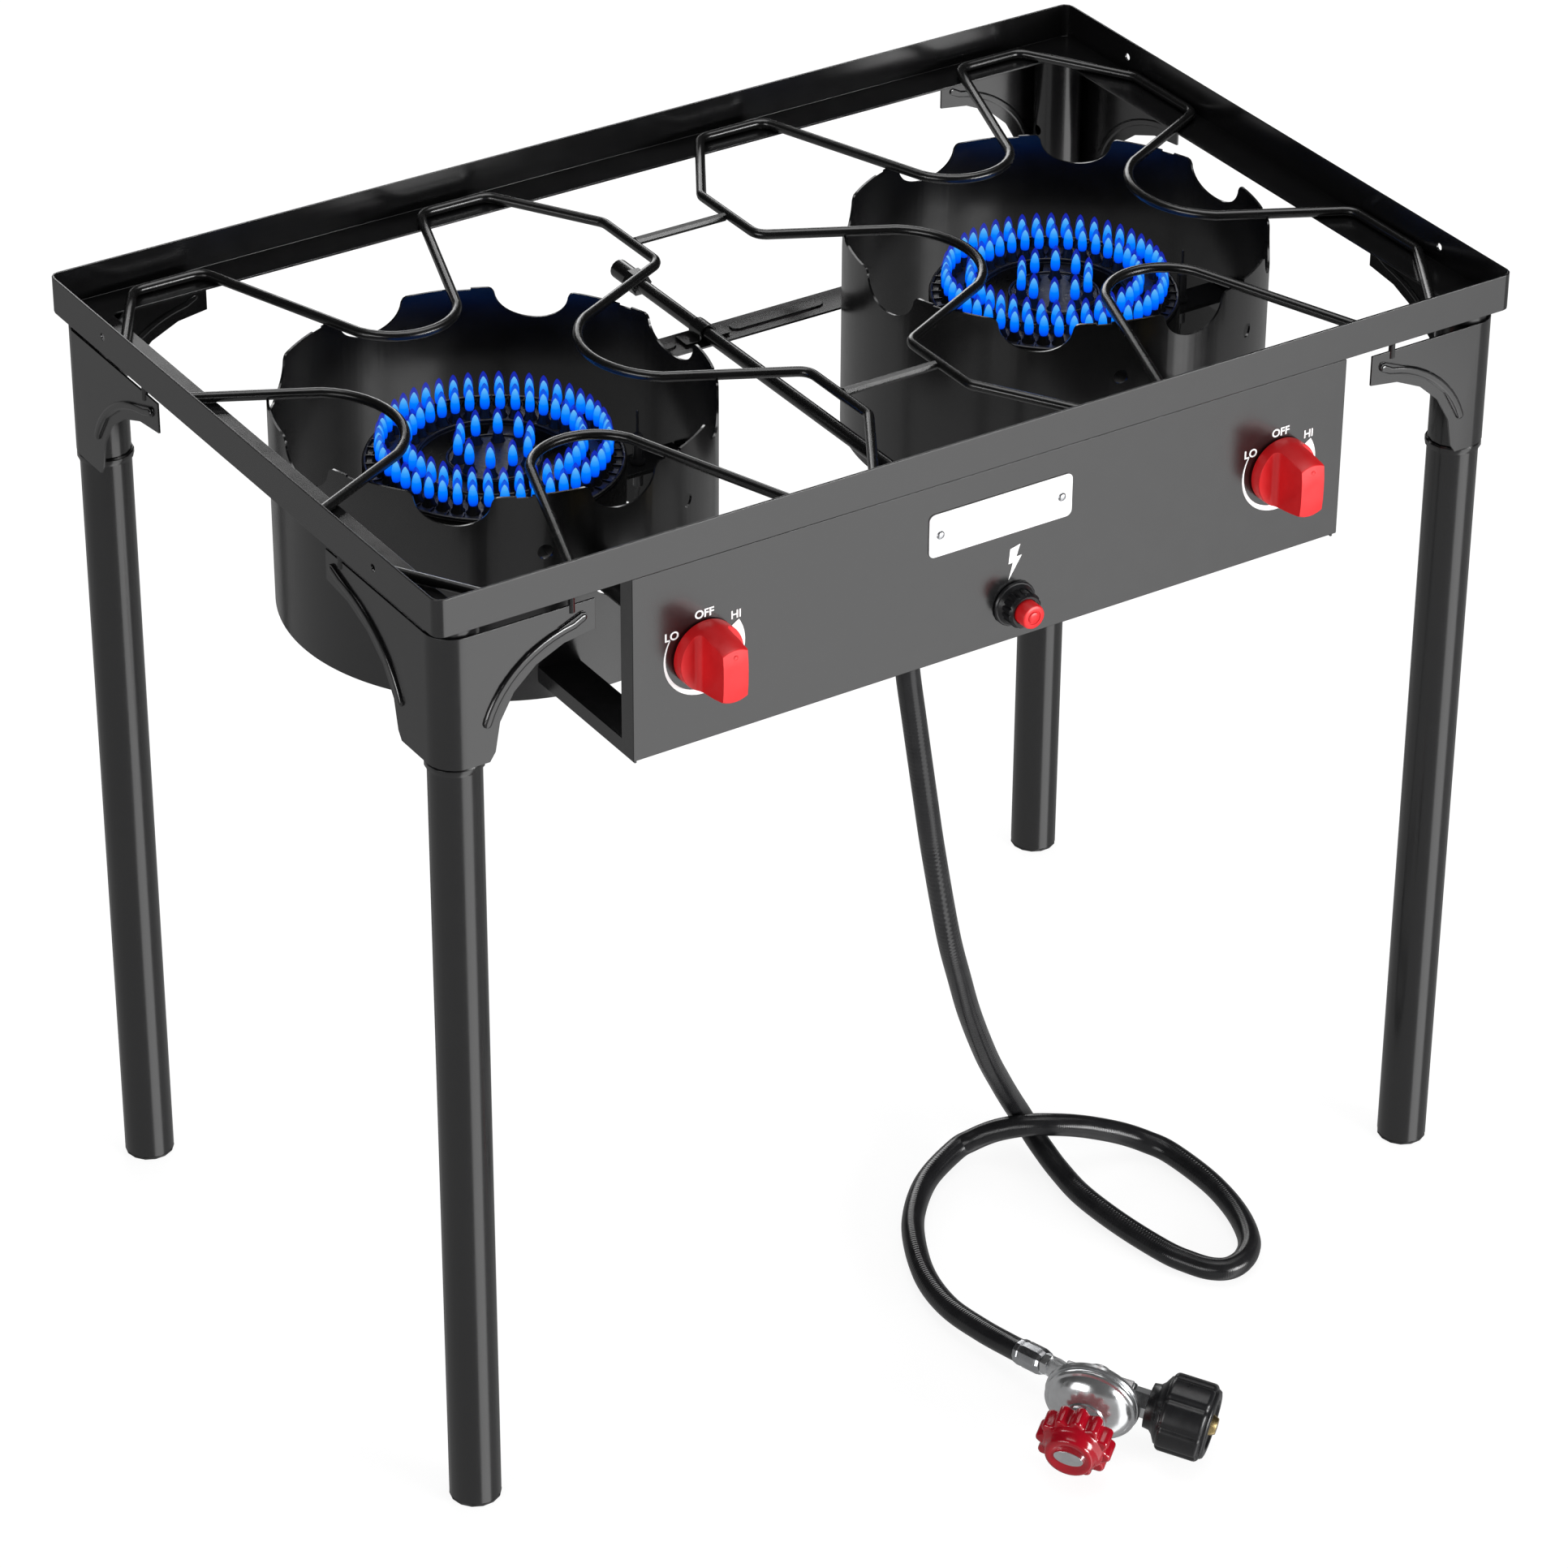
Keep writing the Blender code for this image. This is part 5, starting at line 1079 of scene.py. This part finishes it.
def set_world():
    """Even light all round; reflections see a dim studio with one wide soft box low in front."""
    world = bpy.data.worlds.new("studio")
    bpy.context.scene.world = world
    world.use_nodes = True
    tree = world.node_tree

    def math_node(operation, first, second=None):
        node = tree.nodes.new("ShaderNodeMath")
        node.operation = operation
        for socket, value in ((0, first), (1, second)):
            if value is None:
                continue
            if isinstance(value, (int, float)):
                node.inputs[socket].default_value = value
            else:
                tree.links.new(value, node.inputs[socket])
        return node.outputs["Value"]

    def fade(value, start, end, low, high):
        node = tree.nodes.new("ShaderNodeMapRange")
        node.interpolation_type = "SMOOTHSTEP"
        node.inputs["From Min"].default_value = start
        node.inputs["From Max"].default_value = end
        node.inputs["To Min"].default_value = low
        node.inputs["To Max"].default_value = high
        tree.links.new(value, node.inputs["Value"])
        return node.outputs["Result"]

    ground = tree.nodes["Background"]
    ground.inputs["Color"].default_value = (1, 1, 1, 1)
    rays = tree.nodes.new("ShaderNodeLightPath")
    aim = tree.nodes.new("ShaderNodeTexCoord")
    split = tree.nodes.new("ShaderNodeSeparateXYZ")
    tree.links.new(aim.outputs["Generated"], split.inputs["Vector"])
    turn = math_node("ARCTAN2", split.outputs["Y"], split.outputs["X"])
    off_box = math_node("ABSOLUTE", math_node("SUBTRACT", turn, math.radians(BOX_TURN)))
    half, soft = math.radians(BOX_HALF), math.radians(BOX_SOFT)
    box = fade(off_box, half - soft, half + soft, BOX_LEVEL, LOW_LEVEL)
    low_light = math_node("MULTIPLY", box, fade(split.outputs["Z"], -0.06, 0.10, 1.0, 0.0))
    high_light = fade(split.outputs["Z"], -0.06, 0.10, 0.0, HIGH_LEVEL)
    glossy = math_node("MULTIPLY", math_node("ADD", low_light, high_light), rays.outputs["Is Glossy Ray"])
    straight = math_node("MAXIMUM", rays.outputs["Is Camera Ray"], rays.outputs["Is Transmission Ray"])
    plain = math_node("MULTIPLY", rays.outputs["Is Diffuse Ray"], EVEN_LEVEL)
    level = math_node("ADD", math_node("ADD", glossy, plain), straight)
    tree.links.new(level, ground.inputs["Strength"])


def add_lamp(name, at, aim, size, power, shine=0.2):
    deselect()
    bpy.ops.object.light_add(type="AREA", location=at)
    lamp = bpy.context.object
    lamp.name = name
    lamp.data.shape = "RECTANGLE"
    lamp.data.size, lamp.data.size_y = size
    lamp.data.energy = power
    lamp.data.specular_factor = shine
    lamp.rotation_euler = (Vector(aim) - Vector(at)).to_track_quat("-Z", "Y").to_euler()


def set_lamps():
    add_lamp("key_front", (1.6, -3.6, 0.75), (0, 0, 0.5), (2.4, 1.2), 160)
    add_lamp("fill_left", (-3.6, -1.2, 0.9), (0, 0, 0.4), (2.0, 1.4), 45)
    add_lamp("top_soft", (0.5, 0.4, 3.6), (0, 0, 0.5), (2.5, 2.5), 40, 0.0)
    add_lamp("rear_soft", (1.5, 3.5, 1.6), (0, 0, 0.5), (2.0, 1.6), 35, 0.0)


# ---- putting it together ------------------------------------------------------------------------
set_camera()
dress_nodes()
hose_line = lay_hose()

SHEET_STEEL = ("bracket_", "leg_socket", "panel_arm", "cross_strap", "burner_support", "pipe_clip")
REDRAWN = [
    (("tray_frame",), black_coat, "black_paint", 0.0009),
    (("control_panel",), black_coat, "black_paint", 0.0013),
    (SHEET_STEEL, black_coat, "black_paint", 0.0002),
    (("leg_front", "leg_rear", "manifold", "gas_pipe", "rear_"), black_coat, "black_paint", 0.0),
    (("grate_tie",), wire_coat, "wire_paint", 0.0),
    (("foot_cap",), foot_plastic, "foot_plastic", 0.0),
    (("burner_left", "burner_right", "venturi"), cast_iron, "cast_iron", 0.0005),
    (("valve", "hose_fitting", "inlet_nipple"), brass, "brass", 0.0),
    (("air_shutter",), zinc, "steel", 0.0),
    (("igniter_lead",), lead_cover, "hose_rubber", 0.0),
    (("electrode",), ceramic, "ceramic", 0.0),
    (("igniter_body",), black_plastic, "black_plastic", 0.0),
]
for node in sorted(frame["nodes"]):
    for starts, look, slot, width in REDRAWN:
        if node.startswith(starts):
            redraw(node, look, width)
            break

first_knob = make_knob()
for side, x in (("left", -BURNER_X), ("right", BURNER_X)):
    knob = copy_of(first_knob, f"control_knob_{side}")
    put(knob, Matrix.Translation((x, PANEL_FACE - 0.0006, KNOB_Z)) @ TO_FRONT)
    finish(knob, knob_red, f"knob_{side}", 35)
    even_normals(knob)
    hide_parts(f"knob_{side}")
    make_dial(side, x)
    make_burner_lips(side, x)
    make_guard(side, x)
    make_grate(side, x)
    light_burner(side, x)
bpy.data.objects.remove(first_knob)
for end, sign_y in (("front", -1), ("rear", 1)):
    for side, sign_x in (("left", -1), ("right", 1)):
        make_bead(f"{end}_{side}", sign_x, sign_y)
make_plate()
make_bolt_sign()
make_igniter()
make_regulator(hose_line)
make_regulator_knob()
make_tank_nut()

set_floor()
set_world()
set_lamps()
bpy.context.scene.view_settings.view_transform = "Standard"
